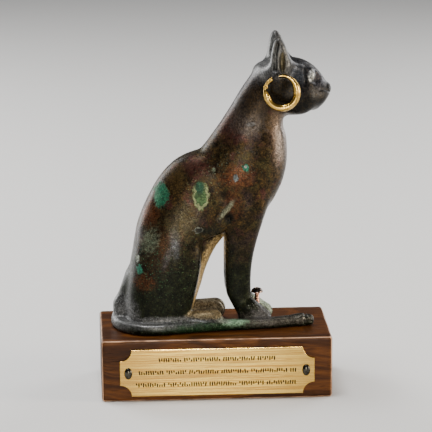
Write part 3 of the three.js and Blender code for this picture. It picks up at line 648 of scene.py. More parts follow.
    def feet(self, side: int) -> tuple[Rod, Rod]:
        """The forepaw and the hind foot of a side."""
        paw, foot = self.tips(side)
        return (Rod((18.5, self.paw_out, 10.5), (paw, self.paw_out, 4.9), 5.4, 4.9, blend=2),
                Rod((-26, self.foot_out, 4), (foot, self.foot_out, 5.4), 6, 5.9, blend=2))

    def legs(self, form: Array, p: Array) -> Array:
        """The trunk's distance with the legs, the folds by the elbows, the feet and the tail.

        Args:
            form: Distance to the trunk.
            p: Points, one to a row, none of them above the legs' top.

        Returns:
            The distance of each point.
        """
        for side in (-1, 1):
            for part in (self.thigh, self.foreleg, *self.elbow, *self.feet(side)):
                form = part.onto(form, p, side)
        for part in self.rump:
            form = part.onto(form, p)
        near = p[:, 2] < self.tail_top
        tail = strap(p[near], self.tail, self.tail_steps, self.tail_squareness)
        form[near] = join(form[near], tail, self.tail_blend)
        return form

    def head(self, p: Array) -> Array:
        """Distance to the head and ears, at points one to a row."""
        form = self.skull.distance(p, 1)
        for part in self.snout:
            form = part.onto(form, p)
        for side in (-1, 1):
            for part in self.face:
                form = part.onto(form, p, side)
        return form

    def plain(self, p: Array) -> Array:
        """Distance to the cat without its fine lines, cut off flat at the block's top."""
        form = self.body(p)
        high = p[:, 2] >= self.head_bottom
        form[high] = join(form[high], self.head(p[high]), self.skull.blend)
        return np.maximum(form, -p[:, 2])

    def groove(self, tip: float, middle: float, back: float, course: tuple[tuple[float, float], ...],
               depth: float, side: int) -> Stroke:
        """One groove between two toes.

        Args:
            tip: How far forwards the foot reaches.
            middle: How far out the groove lies.
            back: How much further back it runs than the middle groove.
            course: How far before the tip each of its points lies, and the point's level.
            depth: Its depth.
            side: 1 for the cat's left, -1 for its right.

        Returns:
            The groove.
        """
        points = tuple((tip + ahead - (back if n else 0), middle, level)
                       for n, (ahead, level) in enumerate(course))
        return Stroke(points, self.toe_width, depth, (side,))

    def toe_strokes(self) -> tuple[Stroke, ...]:
        """The grooves between the toes: three over the front of each forepaw and each hind foot."""
        strokes = []
        for side in (-1, 1):
            paw, foot = self.tips(side)
            for gap in (-self.toe_gap, 0, self.toe_gap):
                back = self.toe_back * abs(gap)
                strokes.append(self.groove(paw, self.paw_out + gap, back, self.paw_groove, 0.5, side))
                middle = self.foot_out + gap * self.foot_spread
                strokes.append(self.groove(foot, middle, back, self.foot_groove, 0.6, side))
        return tuple(strokes)

    def settled_strokes(self) -> list[tuple[Array, float, float]]:
        """Every stroke's points moved onto the surface, with its width and depth."""
        found = []
        for stroke in self.strokes + self.toe_strokes() + self.wear:
            for side in stroke.sides:
                points = np.array(stroke.points, float) * (1, side, 1)
                found.append((settle(self.plain, points, 4, 8), stroke.width, stroke.depth))
        return found


class Skin:
    """The surface of a form, drawn on a grid whose lines may be nearer together where detail is fine.

    The form is sampled at the grid's corners. Each cell that the surface crosses gets one vertex, in
    the middle of the crossings on its edges and then moved onto the surface, and each edge of the grid
    that the surface crosses gets one four-sided face between the four cells round it.
    """

    BLOCK = 4
    FAINT = -0.05
    SLACK = 1.35
    MARGIN = 1.6

    def __init__(self, form: Form, lines: tuple[Array, Array, Array]) -> None:
        """Samples the form.

        Args:
            form: Distance to the form at points, one to a row.
            lines: Places of the grid's lines in x, y and z.
        """
        self.form = form
        self.lines = lines
        self.field = self.sample()
        self.corners = [((c & 1), (c >> 1) & 1, c >> 2) for c in range(8)]
        self.settle_signs()

    def spread(self, values: Array) -> Array:
        """Values of the grid's blocks as values of its corners."""
        for n in range(3):
            values = np.repeat(values, self.BLOCK, n)
        return values[tuple(slice(len(line)) for line in self.lines)]

    def sample(self) -> Array:
        """The form at the grid's corners. A block of corners well clear of the surface gets one value."""
        parts = [[line[i:i + self.BLOCK] for i in range(0, len(line), self.BLOCK)] for line in self.lines]
        middles = np.meshgrid(*[[part.mean() for part in parts[n]] for n in range(3)], indexing="ij")
        halves = np.meshgrid(*[[np.ptp(part) / 2 for part in parts[n]] for n in range(3)], indexing="ij")
        rough = self.form(np.stack(middles, -1).reshape(-1, 3)).reshape(middles[0].shape)
        reach = np.sqrt(sum(half ** 2 for half in halves))
        close = np.abs(rough) < self.SLACK * reach + self.MARGIN
        samples = self.spread(rough).copy()
        places = np.nonzero(self.spread(close))
        samples[places] = self.form(np.stack([line[at] for line, at in zip(self.lines, places)], 1))
        return samples

    def at_corner(self, values: Array, corner: tuple[int, int, int]) -> Array:
        """The values at one corner of every cell."""
        return values[tuple(slice(c, n - 1 + c) for c, n in zip(corner, values.shape))]

    @staticmethod
    def is_plain(inside: int) -> bool:
        """Whether a cell's inside corners, given as bits, mark off one plain sheet of surface.

        Args:
            inside: One bit for each corner that is inside the form.

        Returns:
            True if the inside corners hang together, the outside ones too, and no side is a
            checkerboard.
        """
        for bits in (inside, ~inside & 255):
            reached = bits & -bits
            for _ in range(7):
                for corner in range(8):
                    if reached >> corner & 1:
                        reached |= sum(1 << (corner ^ step) & bits & ~reached for step in (1, 2, 4))
            if reached != bits:
                return False
        for step in (1, 2, 4):
            u, v = (other for other in (1, 2, 4) if other != step)
            for corner in (0, step):
                a, b, d, e = (inside >> c & 1 for c in (corner, corner | u, corner | v, corner | u | v))
                if a == e and b == d and a != b:
                    return False
        return True

    def settle_signs(self) -> None:
        """Fills the faintest outside corner of each cell that isn't plain, until all of them are."""
        plain = np.array([self.is_plain(bits) for bits in range(256)])
        while True:
            inside = self.field < 0
            code = sum(self.at_corner(inside, corner).astype(np.int32) << c
                       for c, corner in enumerate(self.corners))
            cells = np.argwhere(~plain[code])
            if not len(cells):
                return
            around = cells[:, None, :] + np.array(self.corners)[None]
            flat = np.ravel_multi_index(np.moveaxis(around, -1, 0), self.field.shape)
            values = self.field.ravel()[flat]
            faintest = np.where(values >= 0, values, np.inf).argmin(1)
            self.field.ravel()[flat[np.arange(len(flat)), faintest]] = self.FAINT

    def mesh(self) -> tuple[Array, Array]:
        """The surface's points, and its faces by point numbers, four to a face."""
        inside = self.field < 0
        mixed = sum(self.at_corner(inside, corner).astype(np.int8) for corner in self.corners)
        cells = np.argwhere((mixed > 0) & (mixed < 8))
        numbers = np.full(mixed.shape, -1, np.int64)
        numbers[tuple(cells.T)] = np.arange(len(cells))
        return self.vertices(cells), self.faces(inside, numbers)

    def vertices(self, cells: Array) -> Array:
        """One point for each cell: the mean of the crossings on its edges, moved onto the surface.

        Args:
            cells: The cells that the surface crosses, as three indices each.

        Returns:
            The points.
        """
        around = cells[:, None, :] + np.array(self.corners)[None]
        values = self.field[tuple(np.moveaxis(around, -1, 0))]
        places = np.stack([line[around[..., n]] for n, line in enumerate(self.lines)], -1)
        total, crossings = np.zeros((len(cells), 3)), np.zeros(len(cells))
        for a in range(8):
            for b in (a | bit for bit in (1, 2, 4) if not a & bit):
                crossed = (values[:, a] < 0) != (values[:, b] < 0)
                t = values[crossed, a] / (values[crossed, a] - values[crossed, b])
                near, far = places[crossed, a], places[crossed, b]
                total[crossed] += near + t[:, None] * (far - near)
                crossings += crossed
        reach = np.ptp(places, axis=1) / 2
        return settle(self.form, total / crossings[:, None], reach, 2)

    def faces(self, inside: Array, numbers: Array) -> Array:
        """The faces round the grid's crossed edges, turned so that they look outwards.

        Args:
            inside: Whether each corner of the grid is inside the form.
            numbers: The number of each cell's point.

        Returns:
            Point numbers, four to a face.
        """
        found = []
        for n in range(3):
            ahead = np.roll(inside, -1, n)
            crossed = inside != ahead
            crossed[tuple(slice(-1, None) if m == n else slice(None) for m in range(3))] = False
            at = np.argwhere(crossed)
            u, v = np.eye(3, dtype=int)[(n + 1) % 3], np.eye(3, dtype=int)[(n + 2) % 3]
            ring = np.stack([numbers[tuple((at - step).T)] for step in (u + v, v, 0 * u, u)], 1)
            outward = inside[tuple(at.T)]
            ring[~outward] = ring[~outward][:, ::-1]
            found.append(ring)
        return np.concatenate(found)


# Materials


class Wire:
    """A value that goes from one of a material's nodes to others. Each sum on wires lays a node."""

    def __init__(self, shader: "Shader", socket: bpy.types.NodeSocket) -> None:
        """Keeps the material and the socket that the value comes from."""
        self.shader = shader
        self.socket = socket

    def __add__(self, other: "Wire | float") -> "Wire":
        """This value plus another."""
        return self.shader.calc("ADD", self, other)

    def __sub__(self, other: "Wire | float") -> "Wire":
        """This value less another."""
        return self.shader.calc("SUBTRACT", self, other)

    def __rsub__(self, other: float) -> "Wire":
        """A number less this value."""
        return self.shader.calc("SUBTRACT", other, self)

    def __mul__(self, other: "Wire | float") -> "Wire":
        """This value times another."""
        return self.shader.calc("MULTIPLY", self, other)


Input = Wire | float | Sequence[float]


class Shader:
    """A material whose nodes are laid by short calls. Each call returns the wire that it makes."""

    def __init__(self, name: str) -> None:
        """Starts the material of a name."""
        self.material = bpy.data.materials.new(name)
        self.material.use_nodes = True
        self.tree = self.material.node_tree
        self.surface = self.tree.nodes["Principled BSDF"]
        self.place = self.add("ShaderNodeTexCoord", {}, {}, "Object")

    def node(self, kind: str, settings: dict[str, str], inputs: dict[str | int, Input]) -> bpy.types.Node:
        """Adds a node.

        Args:
            kind: The node's type.
            settings: Its properties.
            inputs: Wires or plain values for its inputs, by name or number.

        Returns:
            The node.
        """
        node = self.tree.nodes.new(kind)
        for key, value in settings.items():
            setattr(node, key, value)
        for key, value in inputs.items():
            self.feed(node.inputs[key], value)
        return node

    def add(self, kind: str, settings: dict[str, str], inputs: dict[str | int, Input],
            output: str | int = 0) -> Wire:
        """Adds a node, as above, and returns the wire from one of its outputs."""
        return Wire(self, self.node(kind, settings, inputs).outputs[output])

    def feed(self, socket: bpy.types.NodeSocket, value: Input) -> None:
        """Joins a wire to an input, or sets the input's plain number, colour or vector."""
        if isinstance(value, Wire):
            self.tree.links.new(value.socket, socket)
        elif socket.type == "RGBA":
            socket.default_value = (*value, 1.0)
        else:
            socket.default_value = value

    def mapped(self, scale: Point = (1, 1, 1), move: Point = (0, 0, 0), turn: Point = (0, 0, 0)) -> Wire:
        """The piece's own coordinates, turned, scaled and moved."""
        return self.add("ShaderNodeMapping", {"vector_type": "POINT"}, {
            "Vector": self.place, "Scale": scale, "Location": move, "Rotation": turn})

    def noise(self, scale: float, detail: float, roughness: float = 0.55,
              vector: Wire | None = None) -> Wire:
        """Cloudy noise from 0 to 1 at so many swells to the metre."""
        inputs = {"Vector": vector or self.place, "Scale": scale, "Detail": detail, "Roughness": roughness}
        return self.add("ShaderNodeTexNoise", {}, inputs, "Fac")

    def cells(self, scale: float) -> Wire:
        """Distance from the middles of scattered cells, so many to the metre."""
        return self.add("ShaderNodeTexVoronoi", {}, {"Vector": self.place, "Scale": scale}, "Distance")

    def step(self, value: Wire, low: float, high: float, least: float = 0, most: float = 1) -> Wire:
        """A smooth step from least to most as the value goes from low to high."""
        return self.add("ShaderNodeMapRange", {"interpolation_type": "SMOOTHSTEP"}, {
            "Value": value, "From Min": low, "From Max": high, "To Min": least, "To Max": most})

    def mix(self, share: Wire, under: Input, over: Input) -> Wire:
        """Two colours mixed by the upper one's share."""
        return self.add("ShaderNodeMix", {"data_type": "RGBA", "blend_type": "MIX"}, {
            0: share, 6: under, 7: over}, 2)

    def calc(self, operation: str, a: Wire | float, b: Wire | float = 0.0) -> Wire:
        """One sum on two values."""
        return self.add("ShaderNodeMath", {"operation": operation}, {0: a, 1: b})

    def scaled(self, vector: Wire, times: Point, plus: Point) -> Wire:
        """A vector times another, plus a third."""
        return self.add("ShaderNodeVectorMath", {"operation": "MULTIPLY_ADD"}, {
            0: vector, 1: times, 2: plus})

    def length(self, vector: Wire) -> Wire:
        """A vector's length."""
        return self.add("ShaderNodeVectorMath", {"operation": "LENGTH"}, {0: vector}, "Value")

    def axis(self, name: str) -> Wire:
        """One coordinate of the piece's own place."""
        return self.add("ShaderNodeSeparateXYZ", {}, {0: self.place}, name)

    def attribute(self, name: str) -> Wire:
        """A value that the mesh carries at each vertex."""
        return self.add("ShaderNodeAttribute", {"attribute_name": name}, {}, "Fac")

    def ramp(self, value: Wire, stops: Ramp) -> Wire:
        """A colour from a ramp with the given stops."""
        node = self.node("ShaderNodeValToRGB", {}, {"Fac": value})
        ramp = node.color_ramp
        while len(ramp.elements) < len(stops):
            ramp.elements.new(0.5)
        for element, (at, colour) in zip(ramp.elements, stops):
            element.position = at
            element.color = (*colour, 1)
        return Wire(self, node.outputs["Color"])

    def bump(self, height: Wire, depth: float, strength: float = 1) -> Wire:
        """A normal from a height, where 1 stands for a depth in metres."""
        return self.add("ShaderNodeBump", {}, {"Height": height, "Distance": depth, "Strength": strength})

    def finish(self, piece: bpy.types.Object, **inputs: Input) -> None:
        """Feeds the surface and puts the material on a piece.

        Args:
            piece: The piece.
            inputs: Inputs of the surface, with underscores for the spaces in their names.
        """
        for key, value in inputs.items():
            self.feed(self.surface.inputs[key.replace("_", " ")], value)
        piece.data.materials.append(self.material)


@dataclass(frozen=True)
class Patch:
    """A ragged patch of mineral, stain, painted highlight or painted shade, where the surface lies inside
    an egg-shaped room.

    The centre and radii are in millimetres from the middle of the block's top. The lean turns the room
    about the y axis, in degrees, so that its upper end goes forwards.
    """

    centre: Point
    radii: Point
    colour: Colour
    ragged: float = 0.9
    soft: float = 0.12
    strength: float = 1.0
    lean: float = 0.0
    rim: Colour | None = None
    rim_width: float = 0.2
    crust: float = 1.0
    speckled: bool = False


EMERALD = (0.012, 0.13, 0.066)
LEAF = (0.1, 0.19, 0.07)
CREAM = (0.33, 0.36, 0.17)
SAGE = (0.19, 0.23, 0.15)
FROST = (0.4, 0.44, 0.36)
TURQUOISE = (0.04, 0.26, 0.16)
RUST = (0.17, 0.052, 0.018)
WINE = (0.085, 0.027, 0.022)
TAN = (0.4, 0.3, 0.16)
# Near black: soot in pits and specks, and painted shade in creases, under the jaw and behind the eye.
SOOT_AND_SHADE = (0.006, 0.006, 0.005)


@dataclass(frozen=True)
class Weather:
    """The noises that the layers of the bronze share, each from 0 to 1 unless it says otherwise."""

    broad: Wire
    medium: Wire
    fine: Wire
    grit: Wire
    # from -0.75 to 0.75, frays the patches' edges
    tatter: Wire
    # where a speckled patch shows
    dots: Wire
    # where a patch has its full colour, being dimmer elsewhere
    mottle: Wire
    # the finer noises together, which the colour ramps read
    clouds: Wire

    @classmethod
    def over(cls, s: Shader) -> "Weather":
        """Lays the noises in a material."""
        broad, medium, fine = s.noise(70, 3), s.noise(260, 4, 0.7), s.noise(1000, 3, 0.7)
        grit = s.noise(1700, 3, 0.8)
        tatter = s.noise(430, 4, 0.65) - 0.5 + (s.noise(1300, 3, 0.7) - 0.5) * 0.5
        dots = s.step(s.cells(1000), 0.32, 0.2) * s.step(s.noise(420, 3), 0.46, 0.56)
        mottle = s.step(s.noise(800, 3, 0.7), 0.4, 0.6)
        return cls(broad, medium, fine, grit, tatter, dots, mottle, medium * 0.55 + fine * 0.45)


@dataclass(frozen=True)
class PatinatedBronze:
    """Old bronze: olive and red-brown above, green-black below, slate on the head, with patches, some of
    them painted highlights and painted shade.
    """

    # Stains laid under the soot, among them painted highlights and painted shade.
    stains_and_painted_light: tuple[Patch, ...] = (
        Patch((12, -14, 85), (8, 12, 5.5), RUST, 2, 0.5, 0.6),
        Patch((10, -14, 69), (4, 10, 8), RUST, 2.2, 0.5, 0.4),
        Patch((9, -9, 112), (7, 10, 9), WINE, 1.8, 0.5, 0.6),
        Patch((-35, -12, 65), (5, 10, 7), RUST, 2, 0.5, 0.55),
        Patch((-38, -14, 29), (5, 10, 5), RUST, 2.2, 0.5, 0.4),
        Patch((-31, -16, 47), (7, 9, 13), (0.045, 0.026, 0.012), 1.8, 0.6, 0.7),
        Patch((34, 0, 104), (6, 14, 12), (0.17, 0.1, 0.07), 1.5, 0.6, 0.5),
        # Painted shade: near black over the muzzle and the lower face, and under the jaw.
        Patch((57, -5, 127), (13, 15, 10), (0.012, 0.01, 0.01), 0.7, 0.4, 0.94),
        Patch((46, -6, 122), (13, 14, 6), SOOT_AND_SHADE, 1.2, 0.6, 0.9),
        # Painted highlight: pale grey on the fronts of the ears.
        Patch((38.6, 0, 147), (3.4, 20, 10), (0.2, 0.2, 0.19), 1, 0.5, 0.7),
        Patch((47, 0, 146), (9, 13, 6), (0.028, 0.028, 0.034), 1.2, 0.6, 0.85),
        # Painted highlights: pale grey on the ears, and on the nape behind them where the upper light
        # falls.
        Patch((33.5, 0, 150), (5, 20, 9), (0.32, 0.32, 0.31), 1, 0.5, 0.8),
        Patch((24, -10, 143), (8, 12, 7), (0.27, 0.27, 0.27), 1.6, 0.6, 0.75),
        Patch((15, -8, 133), (8, 10, 11), (0.15, 0.14, 0.15), 1.6, 0.6, 0.6),
        Patch((18, -12, 114), (9, 12, 7), (0.14, 0.115, 0.1), 1.8, 0.6, 0.6),
        Patch((37, -8, 104), (4, 12, 14), (0.26, 0.21, 0.18), 1.2, 0.6, 0.7),
        # Painted highlight: pale grey round the back of the tail's root.
        Patch((-48, -6, 8), (8, 14, 10), (0.22, 0.22, 0.22), 1.2, 0.5, 0.8),
        Patch((14, 14, 80), (10, 12, 8), RUST, 2, 0.5, 0.6),
        Patch((-30, 14, 56), (8, 12, 9), WINE, 1.6, 0.5, 0.6),
        Patch((-4, -12, 113), (7, 10, 4), (0.19, 0.055, 0.03), 1.6, 0.5, 0.8),
        Patch((-10, -14, 90), (7, 10, 5), WINE, 2, 0.5, 0.8),
        Patch((-27.5, -16, 48), (2.6, 9, 10), (0.075, 0.028, 0.01), 1.8, 0.6, 0.5),
        # Painted highlights: two pale streaks down the right haunch.
        Patch((-21.4, -17, 51), (2.2, 9, 8), (0.12, 0.125, 0.14), 1.6, 0.8, 0.6),
        Patch((-26, -17, 42), (1.8, 9, 6), (0.1, 0.1, 0.105), 1.4, 0.6, 0.4, lean=20),
        Patch((-17, -16, 60), (8, 9, 9), (0.075, 0.06, 0.028), 1.8, 0.6, 0.6),
        Patch((-21, -16, 84), (6, 9, 7), (0.1, 0.06, 0.018), 1.8, 0.6, 0.7),
        Patch((34, -10, 116), (4, 9, 6), (0.2, 0.13, 0.08), 1.6, 0.6, 0.6),
        Patch((22, -12, 126), (9, 12, 9), (0.045, 0.026, 0.011), 1.8, 0.6, 0.8),
        # Painted highlight: pale grey along the top of the tail.
        Patch((-24, -20, 6), (26, 7, 2.8), (0.24, 0.24, 0.24), 1.2, 0.5, 0.9),
        Patch((24, -13, 5), (32, 6, 3), (0.16, 0.145, 0.12), 1.6, 0.5, 0.85),
        Patch((-8, -19, 3.2), (30, 5, 2.4), (0.02, 0.07, 0.025), 1.5, 0.5, 0.7),
    )
    patches: tuple[Patch, ...] = (
        # A tan stain on the belly between the thighs, made bright gold as painted light where the warm
        # side light falls.
        Patch((-4.6, 0, 30), (8, 10.6, 29), (0.9, 0.62, 0.26), 0.9, 0.3, lean=23, crust=0.3),
        Patch((-5, 10, 7), (14, 7.4, 5), (0.5, 0.4, 0.25), 1.5, 0.5, 0.85, crust=0.3),
        Patch((-3, -12, 9.4), (13, 7, 3.2), TAN, 0.9, 0.3, 0.75, crust=0.3),
        Patch((36.6, -16, 146.6), (1.2, 5, 5.2), (0.22, 0.18, 0.1), 0.6, 0.4, crust=0),
        Patch((36.6, 16, 146.6), (1.3, 5, 5.2), (0.2, 0.16, 0.09), 0.6, 0.4, crust=0),
        Patch((57, -6, 136), (4.6, 7, 5), (0.05, 0.048, 0.058), 1, 0.5, 0.9, crust=0),
        # Painted highlights: a pale facet on the front of each eye.
        Patch((52.3, -9.6, 138), (1.7, 5, 3.1), (0.5, 0.5, 0.47), 0.5, 0.3, lean=8, crust=0),
        Patch((52.3, 9.6, 138), (1.5, 5, 2.8), (0.26, 0.26, 0.24), 0.9, 0.5, lean=8, crust=0),
        # Painted shadow: a dark band in the crease behind the eye.
        Patch((49, -10, 138), (0.9, 5, 4.4), SOOT_AND_SHADE, 0.6, 0.4, 0.85, lean=-4, crust=0),
        # Painted shadow: near black under the ear's base, round the hoop.
        Patch((35, -12, 131), (8, 9, 10), (0.018, 0.013, 0.006), 1.2, 0.5, 0.8, crust=0),
        Patch((45, -12, 139), (3.8, 6, 4.6), (0.07, 0.08, 0.1), 1.2, 0.6, 0.8, crust=0),
        Patch((-7, -16, 79), (9, 9, 9), CREAM, 1.5, 0.5, 0.8, speckled=True),
        Patch((8, -14, 90), (16, 9, 8), SAGE, 1.5, 0.5, 0.7, speckled=True),
        Patch((-34, -14, 40), (9, 9, 16), TURQUOISE, 1.5, 0.5, 0.7, speckled=True),
        Patch((-16, -14, 34), (24, 9, 26), LEAF, 2, 0.5, 0.45, speckled=True),
        Patch((24, -9, 7), (9, 8, 7), FROST, 1.5, 0.5, 0.9, speckled=True),
        Patch((0, -17, 4), (60, 8, 5), SAGE, 2, 0.5, 0.6, speckled=True),
        Patch((-28.8, -14, 75.6), (4.3, 10, 7.4), EMERALD, 1.1),
        # Paler green at the emerald patch's left edge, partly painted highlight.
        Patch((-30.8, -14, 76), (2, 9, 5.4), (0.1, 0.3, 0.17), 2.4, 0.4, 0.7),
        Patch((-31.4, -12, 81), (1.6, 8, 3.4), FROST, 1.6, 0.4, 0.7, lean=32),
        Patch((-7.4, -16, 75.0), (4.1, 9, 7.2), LEAF, 1.1, rim=CREAM),
        Patch((-7.8, -16, 79.6), (2.6, 9, 3.2), (0.03, 0.11, 0.06), 1.3, 0.3),
        Patch((16.9, -14, 89.7), (2.3, 6, 1.6), TURQUOISE, 1.7, lean=60),
        Patch((16.6, -14, 90.4), (0.9, 6, 0.7), FROST, 1.5),
        Patch((11.4, -15, 84.3), (1.3, 6, 2.1), (0.26, 0.3, 0.3), 1.7),
        Patch((-0.2, -16, 88.4), (1.1, 6, 1.2), SAGE, 1.6, strength=0.7),
        Patch((6.6, -15, 67), (1.3, 7, 5.2), (0.3, 0.31, 0.2), 1.7, 0.7, 0.85, lean=37),
        Patch((7.8, -15, 62), (2.3, 7, 3), SOOT_AND_SHADE, 0.8, 0.5, crust=0),
        Patch((-8.7, -17, 56.4), (2.2, 6, 1.5), (0.03, 0.032, 0.028), 2.8, 0.12, 0.75,
              rim=(0.4, 0.43, 0.36), rim_width=0.12),
        Patch((-2, -17, 56.2), (6, 6, 2), (0.008, 0.012, 0.008), 1.6, 0.6, 0.7, crust=0),
        Patch((-41.6, -13, 40.8), (0.9, 6, 1.9), FROST, 2, strength=0.8),
        Patch((-40.4, -14, 35), (1.6, 6, 2.6), TURQUOISE, 2, strength=0.7),
        Patch((-35, -16, 51), (3.6, 8, 6), SAGE, 2.8, 0.5, 0.5, lean=20),
        Patch((10.4, -15.4, 5), (6, 3.4, 2.2), (0.3, 0.5, 0.32), 1.9, 0.6, 0.9),
        Patch((4, -15.6, 6), (4, 3, 1.4), FROST, 2, 0.6, 0.6),
        Patch((19.9, -12, 112.7), (2.4, 6, 1.2), (0.22, 0.21, 0.2), 1.9, strength=0.6),
        Patch((27, 6.5, 8.4), (7.5, 6, 5), (0.6, 0.72, 0.54), 2.4, 0.6, 0.95),
        Patch((26, -8, 6), (6, 6, 6), (0.15, 0.14, 0.14), 2.4, 0.5, 0.6),
        Patch((-26, 14, 70), (2.4, 8, 4), EMERALD, 1.2),
        Patch((-38, 14, 52), (5, 8, 9), TURQUOISE, 1.6, 0.5, 0.6, speckled=True),
        Patch((-12, 14, 84), (6, 8, 5), CREAM, 1.6, 0.5, 0.6, speckled=True),
        Patch((6, 14, 96), (2.2, 8, 1.6), TURQUOISE, 1.1),
        Patch((-34, 14, 34), (1.8, 8, 3), SAGE, 1.6),
    )
    dimness: float = 0.45
    rim_edge: float = 0.96
    rim_fade: tuple[float, float] = (1.3, 0.6)
    body: Ramp = ((0.37, (0.005, 0.003, 0.001)), (0.46, (0.018, 0.011, 0.004)),
                  (0.54, (0.038, 0.022, 0.006)), (0.64, (0.11, 0.058, 0.016)))
    plum: Ramp = ((0.38, (0.008, 0.005, 0.005)), (0.62, (0.05, 0.027, 0.022)))
    olive: Ramp = ((0.38, (0.006, 0.006, 0.002)), (0.62, (0.06, 0.048, 0.016)))
    deep: Ramp = ((0.36, (0.002, 0.003, 0.001)), (0.5, (0.006, 0.008, 0.003)),
                  (0.6, (0.014, 0.02, 0.008)), (0.7, (0.045, 0.052, 0.026)))
    slate: Ramp = ((0.36, (0.006, 0.006, 0.007)), (0.66, (0.055, 0.053, 0.062)))
    rubbed: Colour = (0.2, 0.18, 0.14)
    speck: Colour = (0.16, 0.11, 0.045)
    relief: float = 0.0001

    def lay(self, s: Shader, place: Wire, colour: Wire, patch: Patch,
            weather: Weather) -> tuple[Wire, Wire]:
        """Lays one patch over a colour.

        The patch is where the point's distance from the centre, in radii, plus noise, is under one.

        Args:
            s: The material.
            place: The point in millimetres from the middle of the block's top.
            colour: The colour so far.
            patch: The patch.
            weather: The noises that fray, mottle and speckle it.

        Returns:
            The new colour, and how much of the patch shows.
        """
        if patch.lean:
            place = s.add("ShaderNodeVectorRotate", {"rotation_type": "Y_AXIS"}, {
                "Vector": place, "Center": patch.centre, "Angle": -math.radians(patch.lean)})
        shares = tuple(1 / radius for radius in patch.radii)
        start = tuple(-c * share for c, share in zip(patch.centre, shares))
        measure = s.length(s.scaled(place, shares, start)) + weather.tatter * patch.ragged
        shown = s.step(measure, 1 + patch.soft, 1 - patch.soft) * patch.strength
        if patch.speckled:
            shown = shown * weather.dots
        colour = s.mix(shown, colour, tuple(self.dimness * share for share in patch.colour))
        colour = s.mix(shown * weather.mottle, colour, patch.colour)
        if patch.rim:
            inner, outer = (self.rim_edge - patch.rim_width * share for share in self.rim_fade)
            colour = s.mix(shown * s.step(measure, inner, outer), colour, patch.rim)
        return colour, shown

    def skin(self, s: Shader, weather: Weather, level: Wire) -> tuple[Wire, Wire]:
        """The bronze's own colours: brown, plum, wine and olive clouds, green-black below, slate above.

        Args:
            s: The material.
            weather: The noises.
            level: The point's height above the floor, in metres.

        Returns:
            The colour, and how far the green-black of the lower part goes.
        """
        clouds = weather.clouds
        body = s.ramp(clouds, self.body)
        plum = s.ramp(clouds, self.plum)
        colour = s.mix(s.step(weather.broad, 0.5, 0.64), body, plum)
        elsewhere = s.noise(120, 3, 0.6, s.mapped(move=(0.31, 0.1, 0.2)))
        colour = s.mix(s.step(elsewhere, 0.56, 0.7, 0, 0.7), colour, WINE)
        olive = s.ramp(clouds, self.olive)
        colour = s.mix(s.step(elsewhere, 0.46, 0.36, 0, 0.8), colour, olive)
        low = s.step(level + weather.broad * 0.034, 0.116, 0.076)
        deep = s.ramp(clouds, self.deep)
        colour = s.mix(low, colour, deep)
        high = s.step(level + weather.broad * 0.014, 0.155, 0.17)
        slate = s.ramp(clouds, self.slate)
        return s.mix(high, colour, slate), low

    def wear(self, s: Shader, weather: Weather, colour: Wire) -> Wire:
        """Soot with painted shade in the creases, and bare metal where edges are rubbed.

        Args:
            s: The material.
            weather: The noises.
            colour: The colour so far.

        Returns:
            The new colour.
        """
        hollow = s.attribute("hollow")
        # Dark patina with painted shade where the surface is hollow.
        colour = s.mix(s.step(hollow, 0.05, 0.32, 0, 0.8), colour, SOOT_AND_SHADE)
        worn = s.step(hollow, -0.14, -0.45) * s.step(weather.fine, 0.4, 0.6)
        return s.mix(worn * 0.55, colour, self.rubbed)

    def dress(self, piece: bpy.types.Object) -> None:
        """Makes the material and puts it on the cat."""
        s = Shader("patinated_bronze")
        level = s.axis("Z")
        weather = Weather.over(s)
        grit, fine = weather.grit, weather.fine
        colour, low = self.skin(s, weather, level)
        mineral = s.step(s.cells(560), 0.13, 0.05)
        mineral = mineral * s.step(s.noise(75, 2), 0.5, 0.64)
        colour = s.mix(mineral * 0.6, colour, SAGE)
        place = s.scaled(s.place, (1 / MM,) * 3, (0, 0, -block_top() / MM))
        for tone_layer in self.stains_and_painted_light:
            colour, _ = self.lay(s, place, colour, tone_layer, weather)
        colour = self.wear(s, weather, colour)
        for patch in self.patches:
            colour, shown = self.lay(s, place, colour, patch, weather)
            if patch.crust > 0:
                mineral = s.calc("MAXIMUM", mineral, shown * patch.crust)
        specks = s.step(grit, 0.52, 0.66) * s.step(weather.medium, 0.4, 0.6, 0.15)
        specks = specks * s.step(low, 0, 1, 0.32, 0.14)
        colour = s.mix(specks, colour, self.speck)
        colour = s.mix(s.step(grit, 0.58, 0.44, 0, 0.6), colour, SOOT_AND_SHADE)
        pits = s.step(s.cells(1200), 0.17, 0.07)
        pits = pits * s.step(s.noise(180, 2), 0.5, 0.6)
        colour = s.mix(pits * 0.6, colour, SOOT_AND_SHADE)
        height = fine * 1.2 + grit * 0.5
        height = height + mineral * 0.8
        height = height - pits * 1.6
        rough = s.step(weather.clouds, 0.4, 0.6, 0.24, 0.42) + mineral * 0.3
        s.finish(piece, Base_Color=colour, Roughness=rough, Metallic=0.5 - mineral * 0.5,
                 Specular_IOR_Level=0.12, Normal=s.bump(height, self.relief))


@dataclass(frozen=True)
class Gold:
    """Soft old gold, polished by handling, with fine scratches."""

    colour: Colour = (0.66, 0.42, 0.1)
    shade: Colour = (0.3, 0.175, 0.03)

    def dress(self, piece: bpy.types.Object) -> None:
        """Makes the material and puts it on the hoop."""
        s = Shader("old_gold")
        cloud = s.noise(400, 3)
        colour = s.mix(s.step(cloud, 0.42, 0.7), self.colour, self.shade)
        scratches = s.noise(1500, 3, 0.6, s.mapped((1, 3, 0.6)))
        rough = s.step(cloud, 0.3, 0.7, 0.16, 0.3)
        s.finish(piece, Base_Color=colour, Metallic=1.0, Roughness=rough,
                 Normal=s.bump(scratches, 0.00002, 0.4))


